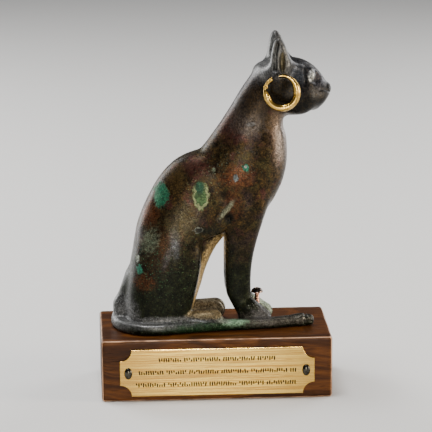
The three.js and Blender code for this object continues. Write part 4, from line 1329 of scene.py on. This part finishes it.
@dataclass(frozen=True)
class BrushedBrass:
    """Plate brass brushed along its length, darker towards its two ends: tarnish, with painted shade where
    its reflection falls off.
    """

    colour: Colour = (1.0, 0.69, 0.17)
    shade: Colour = (0.44, 0.23, 0.045)
    tarnish_and_shade: Colour = (0.36, 0.21, 0.05)
    streak: Colour = (0.3, 0.18, 0.055)

    def dress(self, piece: bpy.types.Object) -> None:
        """Makes the material and puts it on the plate."""
        s = Shader("brushed_brass")
        lines = s.noise(2000, 4, 0.8, s.mapped((0.014, 1, 1)))
        broad = s.noise(260, 3, 0.6, s.mapped((0.05, 1, 1)))
        colour = s.mix(s.step(lines, 0.4, 0.6), self.colour, self.shade)
        colour = s.mix(s.step(broad, 0.4, 0.7, 0, 0.5), colour, self.streak)
        # Darker towards both ends: tarnish, with painted shade where the reflection falls off.
        ends = s.step(s.calc("ABSOLUTE", s.axis("X")), 0.018, 0.056, 0, 0.6)
        colour = s.mix(ends, colour, self.tarnish_and_shade)
        rough = s.step(lines, 0.3, 0.7, 0.15, 0.23)
        s.finish(piece, Base_Color=colour, Metallic=1.0, Roughness=rough, Anisotropic=0.8,
                 Anisotropic_Rotation=0.25, Normal=s.bump(lines, 0.00005, 0.7))


@dataclass(frozen=True)
class BlackFill:
    """Black wax in the engraved strokes."""

    colour: Colour = (0.006, 0.005, 0.004)
    dust: Colour = (0.016, 0.013, 0.011)

    def dress(self, piece: bpy.types.Object) -> None:
        """Makes the material and puts it on the plate."""
        s = Shader("black_fill")
        colour = s.mix(s.noise(900, 2), self.colour, self.dust)
        s.finish(piece, Base_Color=colour, Roughness=0.7, Specular_IOR_Level=0.05)


@dataclass(frozen=True)
class Hardwood:
    """Satin walnut with its grain along the block, darker in the pores, paler along its edges: rubbed wood
    with a painted highlight.
    """

    light: Colour = (0.12, 0.039, 0.006)
    middle: Colour = (0.052, 0.016, 0.002)
    dark: Colour = (0.024, 0.007, 0.0015)
    pore: Colour = (0.012, 0.004, 0.002)
    # Pale pinkish edge colour: rubbed wood with a painted highlight.
    rubbed: Colour = (0.6, 0.36, 0.22)
    heart: Point = (0, -0.02, 0.06)

    def dress(self, piece: bpy.types.Object) -> None:
        """Makes the material and puts it on the block."""
        s = Shader("satin_hardwood")
        bend = s.noise(14, 2, 0.5, s.mapped((1, 2, 2)))
        grain = s.mapped((0.07, 1, 1), turn=(0, math.radians(1.5), 0))
        sway = s.add("ShaderNodeCombineXYZ", {}, {1: bend * 0.02, 2: bend * 0.014})
        warped = s.add("ShaderNodeVectorMath", {"operation": "ADD"}, {0: grain, 1: sway})
        radius = s.length(s.scaled(s.place, (0, 1, 1), self.heart))
        ring = s.add("ShaderNodeCombineXYZ", {}, {0: radius + bend * 0.03, 1: s.axis("X") * 0.05})
        rings = s.noise(230, 3, 0.6, ring)
        fibres = s.noise(900, 4, 0.7, warped)
        pores = s.step(s.noise(2400, 2, 0.6, s.mapped((0.035, 1, 1))), 0.6, 0.68)
        colour = s.ramp(rings, ((0.3, self.dark), (0.45, self.middle), (0.6, self.light),
                                (0.7, self.middle), (0.8, self.light)))
        colour = s.mix(s.step(fibres, 0.4, 0.7, 0, 0.5), colour, self.dark)
        colour = s.mix(pores * 0.7, colour, self.pore)
        # Paler edges: rubbed wood, with a painted highlight along them.
        rubbed_and_lit_edge = s.step(s.attribute("rubbed"), 0.35, 0.9) * s.step(s.noise(120, 3), 0.35, 0.6, 0.35)
        colour = s.mix(rubbed_and_lit_edge, colour, self.rubbed)
        rough = s.step(fibres, 0.3, 0.7, 0.32, 0.46)
        s.finish(piece, Base_Color=colour, Roughness=rough, Specular_IOR_Level=0.14,
                 Normal=s.bump(fibres - pores * 1.5, 0.00006, 0.8))


@dataclass(frozen=True)
class WornMetal:
    """A small metal fitting, rubbed bright on top of a darker skin."""

    name: str
    bright: Colour
    dark: Colour
    roughness: float

    def dress(self, piece: bpy.types.Object) -> None:
        """Makes the material and puts it on the fitting."""
        s = Shader(self.name)
        cloud = s.noise(700, 4, 0.65)
        colour = s.mix(s.step(cloud, 0.4, 0.65), self.bright, self.dark)
        rough = s.step(cloud, 0.3, 0.7, self.roughness - 0.08, self.roughness + 0.12)
        s.finish(piece, Base_Color=colour, Metallic=1.0, Roughness=rough,
                 Normal=s.bump(s.noise(2200, 3), 0.00004, 0.6))


# Sub-assemblies


@dataclass
class Cat:
    """The cast bronze cat, drawn finer than the solid and with its fine lines."""

    height: float = 0.1592
    canon: float = 159.2
    form: CatForm = field(default_factory=CatForm)
    hoop_clearance: float = 0.35
    shank_clearance: float = 0.3
    unevenness: float = 0.09
    swell_share: float = 0.6
    swell_size: float = 9.0
    swell_seed: int = 5
    crease_reach: float = 1.4

    @staticmethod
    def spaced(*stops: tuple[float, float]) -> Array:
        """Lines from stop to stop, each stretch at about the spacing that its first stop gives."""
        parts = [np.linspace(a, b, max(int(round((b - a) / gap)), 1), endpoint=False)
                 for (a, gap), (b, _) in zip(stops[:-1], stops[1:])]
        return np.concatenate([*parts, [stops[-1][0]]])

    def lines(self) -> tuple[Array, Array, Array]:
        """The grid's lines in canon units: near together at the head and the feet, wider at the trunk."""
        return (self.spaced((-60, 0.9), (18, 0.6), (28, 0.52), (67, 0)),
                self.spaced((-29, 0.6), (23, 0)),
                self.spaced((-3, 1), (-1, 0.6), (14, 0.95), (112, 0.5), (163, 0)))

    def build(self, hoop: "Earring", screw: "MountScrew") -> bpy.types.Object:
        """Draws the cat.

        Args:
            hoop: The hoop, whose hole goes through the ear.
            screw: The screw between the paws, which the bronze clears.

        Returns:
            The piece.
        """
        unit = self.height / self.canon
        strokes = self.form.settled_strokes()

        def carved(p: Array) -> Array:
            """Distance to the finished cat: the plain form, the fine lines and a faint unevenness."""
            form = self.form.plain(p)
            form += self.unevenness * (1 + self.swell_share * ripple(p, self.swell_size, self.swell_seed))
            for points, width, depth in strokes:
                low, high = points.min(0) - 3 * width, points.max(0) + 3 * width
                near = ((p >= low) & (p <= high)).all(1)
                q = p[near]
                gap = np.min([rod(q, a, b, 0, 0) for a, b in zip(points[:-1], points[1:])], 0)
                form[near] += depth * np.exp(-(gap / width) ** 2)
            form = np.maximum(form, -hoop.wire_distance(p, self.hoop_clearance))
            form = np.maximum(form, -screw.distance(p, self.shank_clearance))
            return np.maximum(form, -p[:, 2])

        points, faces = Skin(carved, self.lines()).mesh()
        piece = make_piece("cat_bronze", points * unit + (0, 0, block_top()), faces, "cat")
        carry(piece, "hollow", self.hollow(points))
        PatinatedBronze().dress(piece)
        return piece

    def hollow(self, points: Array) -> Array:
        """How hollow the bronze is at each point.

        It is the mean of the form's values one step away in six directions, less its value at the
        point: above zero in creases, below zero on edges.

        Args:
            points: Points on the surface, in canon units.

        Returns:
            One value for each point.
        """
        steps = [self.form.plain(points + sign * self.crease_reach * axis)
                 for axis in np.eye(3) for sign in (-1, 1)]
        return self.form.plain(points) - np.mean(steps, 0)


@dataclass
class Earring:
    """The gold hoop: a swelling body with a ridge along its outside, a wire, and a wrapped eye."""

    diameter: float = 20.0
    body: float = 4.2
    wire: float = 1.3
    piercing: Point = (36.1, -16.2, 139.55)
    body_start: float = -3.35
    body_end: float = 1.45
    blunt: float = 0.08
    taper: float = 0.3
    ridge: float = 0.1
    ridge_width: float = 0.3
    grooves: tuple[float, ...] = (-1.02, -0.94, -0.86, -2.9, -2.82)
    groove_depth: float = 0.1
    groove_width: float = 0.02
    eye_angle: float = 158.0
    eye_inset: float = 0.7
    eye_radius: float = 0.85
    eye_wire: float = 0.4
    eye_steps: int = 40
    winding_start: float = 154.0
    winding_span: float = 44.0
    winding_turns: int = 7
    winding_lift: float = 0.12
    winding_wire: float = 0.3
    winding_steps: int = 220
    steps: int = 260
    sides: int = 32

    @property
    def middle(self) -> Array:
        """The centre of the hoop's outer circle, in millimetres from the block's top."""
        return np.array(self.piercing) - (0, 0, self.diameter / 2 - self.wire / 2)

    def wire_distance(self, p: Array, clearance: float) -> Array:
        """Distance to the wire's ring with some clearance: from its middle line, less the radius."""
        q = p - self.middle
        reach = self.diameter / 2 - self.wire / 2
        return np.hypot(np.hypot(q[:, 0], q[:, 2]) - reach, q[:, 1]) - self.wire / 2 - clearance

    def section(self, angle: Array) -> Array:
        """Radius of the hoop's section: the body swells from a blunt end and tapers to the wire."""
        t = np.clip((angle - self.body_start) / (self.body_end - self.body_start), 0, 1)
        blunt = np.minimum(t / self.blunt, 1) ** 0.5
        taper = np.sin(np.pi / 2 * np.minimum((1 - t) / self.taper, 1)) ** 1.8
        swell = blunt * taper * (0.85 + 0.15 * np.minimum(t / 0.7, 1))
        return self.wire / 2 + (self.body / 2 - self.wire / 2) * swell

    def tube(self, path: Array, across: Array, up: Array, radius: Array) -> tuple[Array, Array]:
        """A round tube along a path: each row is the path's point plus a circle in its two directions.

        Args:
            path: Points along the middle.
            across: One direction of each section.
            up: The other direction of each section.
            radius: Radius at each point of the path, or at each point of each section.

        Returns:
            The points and the faces, closed round the section and open at the ends.
        """
        turn = circle(self.sides)
        radius = np.broadcast_to(np.reshape(radius, (len(path), -1)), (len(path), self.sides))
        rows = (path[:, None] + (radius * np.cos(turn))[..., None] * across[:, None]
                + (radius * np.sin(turn))[..., None] * up[:, None])
        return rows.reshape(-1, 3), grid_faces(len(path), self.sides, round_columns=True)[:, ::-1]

    def hoop(self) -> tuple[Array, Array]:
        """The hoop itself: a closed tube whose outside is a true circle.

        Its section is round, with a low ridge along the outside and faint grooves round the body
        where wire was wound.
        """
        angle = np.linspace(np.pi / 2, np.pi / 2 - 2 * np.pi, self.steps, endpoint=False)
        turn = circle(self.sides)
        body = self.section(angle)
        out = spokes(angle)
        across = np.broadcast_to((0.0, 1.0, 0.0), out.shape)
        off = np.minimum(turn, 2 * np.pi - turn)
        share = ((body - self.wire / 2) / (self.body / 2 - self.wire / 2))[:, None]
        ridge = self.ridge - self.ridge * np.exp(-(off / self.ridge_width) ** 2)
        radius = body[:, None] * (1 - share * ridge[None, :])
        for groove in self.grooves:
            dip = np.exp(-((angle - groove) / self.groove_width) ** 2)
            radius = radius - self.groove_depth * dip[:, None]
        path = self.middle + out * (self.diameter / 2 - body)[:, None]
        points, _ = self.tube(path, out, across, radius)
        return points, grid_faces(self.steps, self.sides, True, True)

    def eye(self) -> tuple[Array, Array]:
        """A small ring at the body's blunt end: a closed torus that stands out from the hoop."""
        angle = np.radians(self.eye_angle)
        spoke = np.array([np.cos(angle), 0, np.sin(angle)])
        centre = self.middle + (self.diameter / 2 - self.eye_inset) * spoke
        turn = circle(self.eye_steps)
        out = spokes(turn)
        across = np.broadcast_to((0.0, 1.0, 0.0), out.shape)
        wire = np.full(len(turn), self.eye_wire)
        points, _ = self.tube(centre + self.eye_radius * out, out, across, wire)
        return points, grid_faces(len(turn), self.sides, True, True)

    def winding(self) -> tuple[Array, Array]:
        """Fine wire wound round the thin stretch: a helix about the hoop's middle line."""
        t = np.linspace(0, 1, self.winding_steps)
        angle = np.radians(self.winding_start) - t * np.radians(self.winding_span)
        twist = 2 * np.pi * self.winding_turns * t
        out = spokes(angle)
        side = np.array([0.0, 1.0, 0.0])
        spoke = np.cos(twist)[:, None] * out + np.sin(twist)[:, None] * side
        line = self.middle + out * (self.diameter / 2 - self.wire / 2)
        path = line + spoke * (self.wire / 2 + self.winding_lift)
        along = np.gradient(path, axis=0)
        along /= np.linalg.norm(along, axis=1)[:, None]
        up = np.cross(along, spoke)
        up /= np.linalg.norm(up, axis=1)[:, None]
        radius = self.winding_wire * np.sin(np.pi * np.clip(t, 0.02, 0.98)) ** 0.3
        points, faces = self.tube(path, spoke, up, radius)
        count = len(points)
        caps = [list(range(self.sides)), list(range(count - 1, count - 1 - self.sides, -1))]
        return points, [*faces.tolist(), *caps]

    def build(self) -> bpy.types.Object:
        """Builds the hoop."""
        skins = Skins()
        for points, faces in (self.hoop(), self.eye(), self.winding()):
            skins.add(points * MM + (0, 0, block_top()), faces)
        piece = skins.piece("earring_gold", "earring", Slot.GOLD)
        Gold().dress(piece)
        return piece


def turned(profile: Array, steps: int) -> tuple[Array, list[list[int]]]:
    """A body of revolution about Z: the profile's points carried round, with its two ends closed.

    Args:
        profile: Rows of radius and height, from the lower end to the upper, both off the axis.
        steps: Number of steps round.

    Returns:
        The points and the faces.
    """
    angle = circle(steps)
    radius, height = profile[:, :1], profile[:, 1:]
    points = np.stack([radius * np.cos(angle), radius * np.sin(angle), height + 0 * angle], -1)
    faces = grid_faces(len(profile), steps, round_columns=True).tolist()
    last = (len(profile) - 1) * steps
    return points.reshape(-1, 3), [*faces, list(range(steps))[::-1], list(range(last, last + steps))]


TIP_RADIUS = 0.02


def dome(radius: float, base: float, rise: float, steps: int) -> Array:
    """A quarter ellipse from a dome's rim to its tip, as rows of radius and height."""
    turn = np.linspace(0, np.pi / 2, steps)
    rows = np.stack([radius * np.cos(turn), base + rise * np.sin(turn)], 1)
    rows[-1, 0] = TIP_RADIUS
    return rows


@dataclass
class MountScrew:
    """The slotted screw between the forepaws that holds the bronze down."""

    middle: float = 23.6
    head: float = 6.5
    dome: float = 2.4
    shank: float = 2.7
    stand: float = 17.4
    thread_depth: float = 0.14
    thread_pitch: float = 0.9
    slot_width: float = 0.9
    slot_depth: float = 1.1
    slot_angle: float = 35.0
    slot_edge: float = 0.2
    thread_steps: int = 220
    dome_steps: int = 44
    round_steps: int = 96

    def distance(self, p: Array, clearance: float) -> Array:
        """Distance to the room that the screw needs: two upright cylinders, shank and head."""
        off = np.hypot(p[:, 0] - self.middle, p[:, 1])
        shank = np.maximum(off - self.shank / 2 - clearance, p[:, 2] - self.stand)
        level = np.abs(p[:, 2] - self.stand - self.dome / 2) - self.dome / 2 - clearance
        return np.minimum(shank, np.maximum(off - self.head / 2 - clearance, level))

    def build(self) -> bpy.types.Object:
        """Builds the screw: a dome head on a threaded shank, with a slot sunk across the dome.

        The dome is a quarter ellipse carried round. The slot lowers it to a floor where a point is
        nearer the slot's middle line than half its width.
        """
        low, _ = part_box("mount_screw")
        depth = block_top() / MM - low[2] / MM
        level = np.linspace(-depth, self.stand - 0.4, self.thread_steps)
        wave = 0.5 + 0.5 * np.cos(2 * np.pi * level / self.thread_pitch)
        shank = np.stack([self.shank / 2 - self.thread_depth * wave, level], 1)
        rim = np.array([[self.shank / 2, self.stand - 0.2], [self.head / 2 - 0.25, self.stand - 0.2],
                        [self.head / 2, self.stand - 0.05]])
        top = dome(self.head / 2, self.stand, self.dome, self.dome_steps)
        points, faces = turned(np.concatenate([shank, rim, top]), self.round_steps)
        slot = math.radians(self.slot_angle)
        off = np.abs(points[:, 0] * math.sin(slot) - points[:, 1] * math.cos(slot))
        floor = self.stand + self.dome - self.slot_depth
        sunk = np.clip((self.slot_width / 2 + self.slot_edge / 2 - off) / self.slot_edge, 0, 1)
        level = points[:, 2]
        lower = level + sunk * (np.minimum(level, floor) - level)
        points[:, 2] = np.where(level > self.stand, lower, level)
        coats = [Coat.SECOND if max(points[face, 2]) < self.stand + 0.2 else Coat.MAIN for face in faces]
        skins = Skins()
        skins.add((points + (self.middle, 0, 0)) * MM + (0, 0, block_top()), faces, coats)
        piece = skins.piece("mount_screw_turned", "mount_screw", Slot.SCREW)
        WornMetal("blackened_copper", (0.16, 0.12, 0.1), (0.03, 0.026, 0.024), 0.2).dress(piece)
        WornMetal("bare_copper", (0.66, 0.36, 0.25), (0.3, 0.14, 0.09), 0.28).dress(piece)
        return piece


@dataclass
class Plaque:
    """The notched brass plate, with three rows of short engraved strokes filled in black."""

    notch: float = 6.2
    bevel: float = 0.3
    engraving: float = 0.16
    hole: float = 1.3
    pin_inset: float = 4.5
    rows: tuple[tuple[float, float, float], ...] = (
        (7.1, -31.6, 31.0), (0.2, -42.4, 42.9), (-6.6, -44.0, 42.0))
    stroke_height: float = 2.4
    stroke_width: float = 0.72
    pitch: float = 1.24
    heights: tuple[float, ...] = (1, 1, 0.8, 0.6)
    leans: tuple[float, ...] = (-0.16, 0, 0, 0.16)
    first_run: tuple[int, int] = (9, 17)
    run: tuple[int, int] = (7, 19)
    gap: float = 0.9
    seed: int = 11
    end_points: int = 5
    arc_points: int = 14
    hole_points: int = 28
    bevel_steps: int = 3

    def outline(self, inset: float) -> Array:
        """The plate's outline, moved inwards: straight sides with a hollow quarter circle at each corner.

        Args:
            inset: How far it is moved inwards.

        Returns:
            Points in the plate's own x and z, counterclockwise.
        """
        low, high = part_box("plaque")
        half = np.array([high[0] - low[0], high[2] - low[2]]) / 2 / MM
        radius = self.notch + inset
        least = math.asin(inset / radius)
        turn = np.linspace(least, math.pi / 2 - least, self.arc_points)
        corners = []
        for start, sign in ((1, (1, 1)), (1.5, (-1, 1)), (0, (-1, -1)), (0.5, (1, -1))):
            angle = start * math.pi + turn[::-1]
            corners.append(half * sign + radius * np.stack([np.cos(angle), np.sin(angle)], 1))
        return np.concatenate(corners)

    def bar(self, middle: tuple[float, float], length: float, lean: float) -> Array:
        """One stroke: a straight bar with round ends, as points round its edge."""
        count = self.end_points
        turn = np.radians(np.concatenate([np.linspace(-90, 90, count), np.linspace(90, 270, count)]))
        reach = max(length - self.stroke_width, 0.02) / 2
        x = np.repeat((reach, -reach), count) + self.stroke_width / 2 * np.cos(turn)
        y = self.stroke_width / 2 * np.sin(turn)
        c, s = math.cos(lean), math.sin(lean)
        return np.stack([middle[0] + c * x - s * y, middle[1] + s * x + c * y], 1)

    def strokes(self) -> list[Array]:
        """The strokes of all rows.

        Each is one bar. Its height, level and lean are drawn by lot, and now and then a gap is left.
        """
        lot = np.random.default_rng(self.seed)
        loops = []
        for level, start, end in self.rows:
            x, left = start + self.pitch / 2, int(lot.integers(*self.first_run))
            while x < end:
                if left == 0:
                    x, left = x + self.pitch * self.gap, int(lot.integers(*self.run))
                    continue
                height = self.stroke_height * lot.choice(self.heights)
                spare = (self.stroke_height - height) / 2
                lean = math.pi / 2 + lot.choice(self.leans)
                loops.append(self.bar((x, level + spare * lot.choice((-1, 1))), height, lean))
                x, left = x + self.pitch, left - 1
        return loops

    def build(self) -> bpy.types.Object:
        """Builds the plate.

        Its face is a flat sheet between the outline and the edges of the strokes and pin holes. From
        each of those edges a wall is carried back: to the floor of a stroke, through the plate at a
        hole, and over the bevel at the outline.
        """
        low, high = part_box("plaque")
        middle, face, back = (low[2] + high[2]) / 2 / MM, low[1] / MM, high[1] / MM
        angle = circle(self.hole_points)
        reach = (high[0] - low[0]) / 2 / MM - self.pin_inset
        holes = [np.array([side * reach, 0]) + self.hole * np.stack([np.cos(angle), np.sin(angle)], 1)
                 for side in (-1, 1)]
        strokes = self.strokes()

        def at(loop: Array, depth: float) -> Array:
            """A loop's points in the frame at a depth behind the face."""
            return np.stack([loop[:, 0], np.full(len(loop), face + depth), loop[:, 1] + middle], 1) * MM

        def sheet(loops: list[Array]) -> tuple[Array, Array]:
            """Triangles that fill the first loop, except inside the others."""
            flat = np.concatenate(loops)
            starts = np.cumsum([0] + [len(loop) for loop in loops])
            rings = [list(range(a, b)) for a, b in zip(starts[:-1], starts[1:])]
            found = geometry.delaunay_2d_cdt([Vector(p) for p in flat], [], rings, 2, 1e-6)
            return np.array([tuple(v) for v in found[0]]), np.array([list(f) for f in found[2]])

        skins = Skins()
        front, thickness = self.outline(self.bevel), back - face
        points, triangles = sheet([front, *holes, *strokes])
        skins.add(at(points, 0), triangles)
        points, triangles = sheet([self.outline(0), *holes])
        skins.add(at(points, thickness), triangles[:, ::-1])
        rings = [at(front, 0)]
        for turn in np.linspace(0, math.pi / 2, self.bevel_steps + 1)[1:]:
            inset = self.bevel * (1 - math.sin(turn))
            rings.append(at(self.outline(inset), self.bevel * (1 - math.cos(turn))))
        rings.append(at(self.outline(0), thickness))
        skins.add(np.concatenate(rings), grid_faces(len(rings), len(front), round_columns=True)[:, ::-1])
        walls = [(hole, thickness, Coat.MAIN) for hole in holes]
        walls += [(stroke, self.engraving, Coat.SECOND) for stroke in strokes]
        for loop, depth, coat in walls:
            skins.add(np.concatenate([at(loop, 0), at(loop, depth)]),
                      grid_faces(2, len(loop), round_columns=True), coat)
            if coat is Coat.SECOND:
                skins.add(at(loop, depth), [list(range(len(loop)))], coat)
        piece = skins.piece("plaque_engraved", "plaque", Slot.BRASS, shade_smooth=False)
        BrushedBrass().dress(piece)
        BlackFill().dress(piece)
        return piece


@dataclass
class Pin:
    """A dome-headed pin with an oval head, which holds one end of the plate."""

    side: int
    head_height: float = 6.4
    head_width: float = 4.3
    dome: float = 1.6
    shank: float = 2.0
    rim: float = 0.12
    dent: float = 0.02
    dent_size: float = 2.2
    dome_steps: int = 30
    round_steps: int = 64

    def build(self) -> bpy.types.Object:
        """Builds the pin: a dome carried round an oval, with faint hammered dents, on a round shank."""
        node = "pin_left" if self.side < 0 else "pin_right"
        low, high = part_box(node)
        seat, end = low[1] / MM + self.dome, high[1] / MM
        top = dome(self.head_height / 2, 0, self.dome, self.dome_steps)
        profile = np.concatenate([[[self.shank / 2, seat - end], [self.shank / 2, 0],
                                   [self.head_height / 2 - self.rim, 0]], top[1:]])
        points, faces = turned(profile, self.round_steps)
        on_head = np.hypot(points[:, 0], points[:, 1]) > self.shank / 2 + 0.01
        on_head |= points[:, 2] > 0.01
        points[on_head, 0] *= self.head_width / self.head_height
        dents = self.dent * (1 + ripple(points, self.dent_size, 3 + self.side))
        points[:, 2] -= np.where(points[:, 2] > 0.3, dents, 0)
        middle = (np.array(low) + np.array(high)) / 2 / MM
        placed = np.stack([middle[0] + points[:, 0], seat - points[:, 2], middle[2] + points[:, 1]], 1)
        skins = Skins()
        skins.add(placed * MM, faces)
        piece = skins.piece(f"{node}_domed", node, Slot.PIN)
        WornMetal(f"burnished_{node}", (0.07, 0.065, 0.05), (0.025, 0.022, 0.018), 0.2).dress(piece)
        return piece


@dataclass
class WoodBlock:
    """The hardwood block, with softened edges that handling has worn unevenly."""

    edge: float = 1.6
    spacing: float = 1.6
    wear: float = 0.16
    edge_room: float = 1.2
    edge_lines: int = 6

    def lines(self, length: float) -> Array:
        """Places across one side, nearer together where the edge is rounded."""
        inner = length - self.edge * self.edge_room
        edge = np.linspace(inner, length, self.edge_lines + 1)[1:]
        steps = np.linspace(-inner, inner, int(2 * inner / self.spacing) + 1)
        return np.concatenate([-edge[::-1], steps, edge])

    def side(self, half: Array, axis: int, sign: int) -> tuple[Array, Array]:
        """One side of the block, as a grid that reaches the block's sharp edges.

        Args:
            half: The block's half sizes.
            axis: The number of the axis that the side faces.
            sign: Which way along it.

        Returns:
            The points and faces.
        """
        u, v = (axis + 1) % 3, (axis + 2) % 3
        across, up = np.meshgrid(self.lines(half[u]), self.lines(half[v]), indexing="ij")
        points = np.empty((*across.shape, 3))
        points[..., axis], points[..., u], points[..., v] = sign * half[axis], across, up
        faces = grid_faces(*across.shape)
        return points.reshape(-1, 3), faces if sign < 0 else faces[:, ::-1]

    def build(self) -> bpy.types.Object:
        """Builds the block.

        A point of the sharp box goes to its nearest point in a box smaller by the edge's radius, and
        from there outwards by that radius, which rounds every edge. The wear takes a little more off
        where the two differ most.
        """
        low, high = (np.array(corner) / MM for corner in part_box("base"))
        half, middle = (high - low) / 2, (high + low) / 2
        skins, rubbed = Skins(), []
        for axis in range(3):
            for sign in (-1, 1):
                points, faces = self.side(half, axis, sign)
                worn = self.edge + self.wear * (1 + ripple(points, 17, 8) + 0.5 * ripple(points, 4, 9))
                inner = np.clip(points, -(half - worn[:, None]), half - worn[:, None])
                gap = points - inner
                out = gap / np.maximum(np.linalg.norm(gap, axis=1), 1e-9)[:, None]
                skins.add((inner + out * worn[:, None] + middle) * MM, faces)
                rubbed.append((1 - np.abs(out).max(1)) / (1 - math.sqrt(0.5)))
        piece = skins.piece("hardwood_block", "base", Slot.WOOD)
        # Each point's share of an edge, which the wood's finish paints paler as rubbed wood and a painted
        # highlight.
        carry(piece, "rubbed", np.concatenate(rubbed))
        self.close(piece)
        Hardwood().dress(piece)
        return piece

    @staticmethod
    def close(piece: bpy.types.Object) -> None:
        """Joins the sides where they meet and turns their faces outwards."""
        mesh = bmesh.new()
        mesh.from_mesh(piece.data)
        bmesh.ops.remove_doubles(mesh, verts=mesh.verts, dist=1e-6)
        bmesh.ops.recalc_face_normals(mesh, faces=mesh.faces)
        mesh.to_mesh(piece.data)
        mesh.free()


# The studio


@dataclass(frozen=True)
class Lamp:
    """One soft light: its middle, its width and height in metres, its power in watts and its colour."""

    name: str
    place: Point
    size: tuple[float, float]
    power: float
    colour: Colour = (1, 1, 1)


@dataclass
class Studio:
    """A pale floor, soft lights, and a camera where the photograph's was."""

    place: Point = (-0.07612, -1.43628, 0.43943)
    pitch: float = 13.5
    yaw: float = 3.0946
    roll: float = 0.388
    lens: float = 228.08
    sensor: float = 36.0
    floor: float = 12.0
    floor_colour: Colour = (0.72, 0.71, 0.69)
    heart: Point = (0, 0, 0.1)
    sky: Colour = (0.9, 0.93, 1)
    sky_strength: float = 0.13
    lamps: tuple[Lamp, ...] = (
        Lamp("back_left", (-0.85, 0.8, 0.45), (0.7, 1.0), 17),
        Lamp("back_right", (0.85, 0.75, 0.4), (0.6, 0.9), 10),
        Lamp("top", (-0.15, 0.0, 1.2), (0.6, 0.35), 15),
        Lamp("right", (1.0, -0.24, 0.2), (0.3, 0.4), 11, (1, 0.9, 0.75)),
        Lamp("front", (0.02, -1.25, 0.24), (0.09, 0.34), 8, (1, 0.94, 0.84)),
    )

    def camera(self) -> None:
        """Puts the camera. It looks ahead, and is turned about that line by the roll."""
        pitch, yaw, roll = (math.radians(a) for a in (self.pitch, self.yaw, self.roll))
        flat = math.cos(pitch)
        ahead = Vector((math.sin(yaw) * flat, math.cos(yaw) * flat, -math.sin(pitch)))
        level = Vector((math.cos(yaw), -math.sin(yaw), 0))
        down = ahead.cross(level)
        right = math.cos(roll) * level + math.sin(roll) * down
        under = -math.sin(roll) * level + math.cos(roll) * down
        data = bpy.data.cameras.new("camera")
        data.lens = self.lens
        data.sensor_width = self.sensor
        data.clip_start, data.clip_end = 0.05, 50
        camera = link("camera", data)
        axes = Matrix((right, -under, -ahead)).transposed()
        camera.matrix_world = Matrix.Translation(self.place) @ axes.to_4x4()
        bpy.context.scene.camera = camera

    def ground(self) -> None:
        """Lays the floor."""
        half = self.floor / 2
        mesh = bpy.data.meshes.new("floor")
        mesh.from_pydata([(-half, -half, 0), (half, -half, 0), (half, half, 0), (-half, half, 0)], [],
                         [(0, 1, 2, 3)])
        floor = link("floor", mesh)
        Shader("pale_floor").finish(floor, Base_Color=self.floor_colour, Roughness=0.75)

    def light(self, lamp: Lamp) -> None:
        """Hangs one light, facing the middle of the figure."""
        data = bpy.data.lights.new(lamp.name, "AREA")
        data.shape = "RECTANGLE"
        data.size, data.size_y = lamp.size
        data.energy, data.color = lamp.power, lamp.colour
        hung = link(lamp.name, data)
        facing = (Vector(self.heart) - Vector(lamp.place)).to_track_quat("-Z", "Y")
        hung.matrix_world = Matrix.Translation(lamp.place) @ facing.to_matrix().to_4x4()

    def build(self) -> None:
        """Sets up the floor, the lights, the sky and the camera."""
        self.ground()
        for lamp in self.lamps:
            self.light(lamp)
        world = bpy.data.worlds.new("studio")
        world.use_nodes = True
        background = world.node_tree.nodes["Background"]
        background.inputs["Color"].default_value = (*self.sky, 1)
        background.inputs["Strength"].default_value = self.sky_strength
        bpy.context.scene.world = world
        self.camera()


def main() -> None:
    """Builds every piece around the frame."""
    logging.basicConfig(level=logging.INFO, format="%(message)s", force=True)
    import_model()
    hoop, screw = Earring(), MountScrew()
    pieces = [WoodBlock().build(), Plaque().build(), Pin(-1).build(), Pin(1).build(), screw.build(),
              hoop.build(), Cat().build(hoop, screw)]
    Studio().build()


if __name__ == "__main__":
    main()
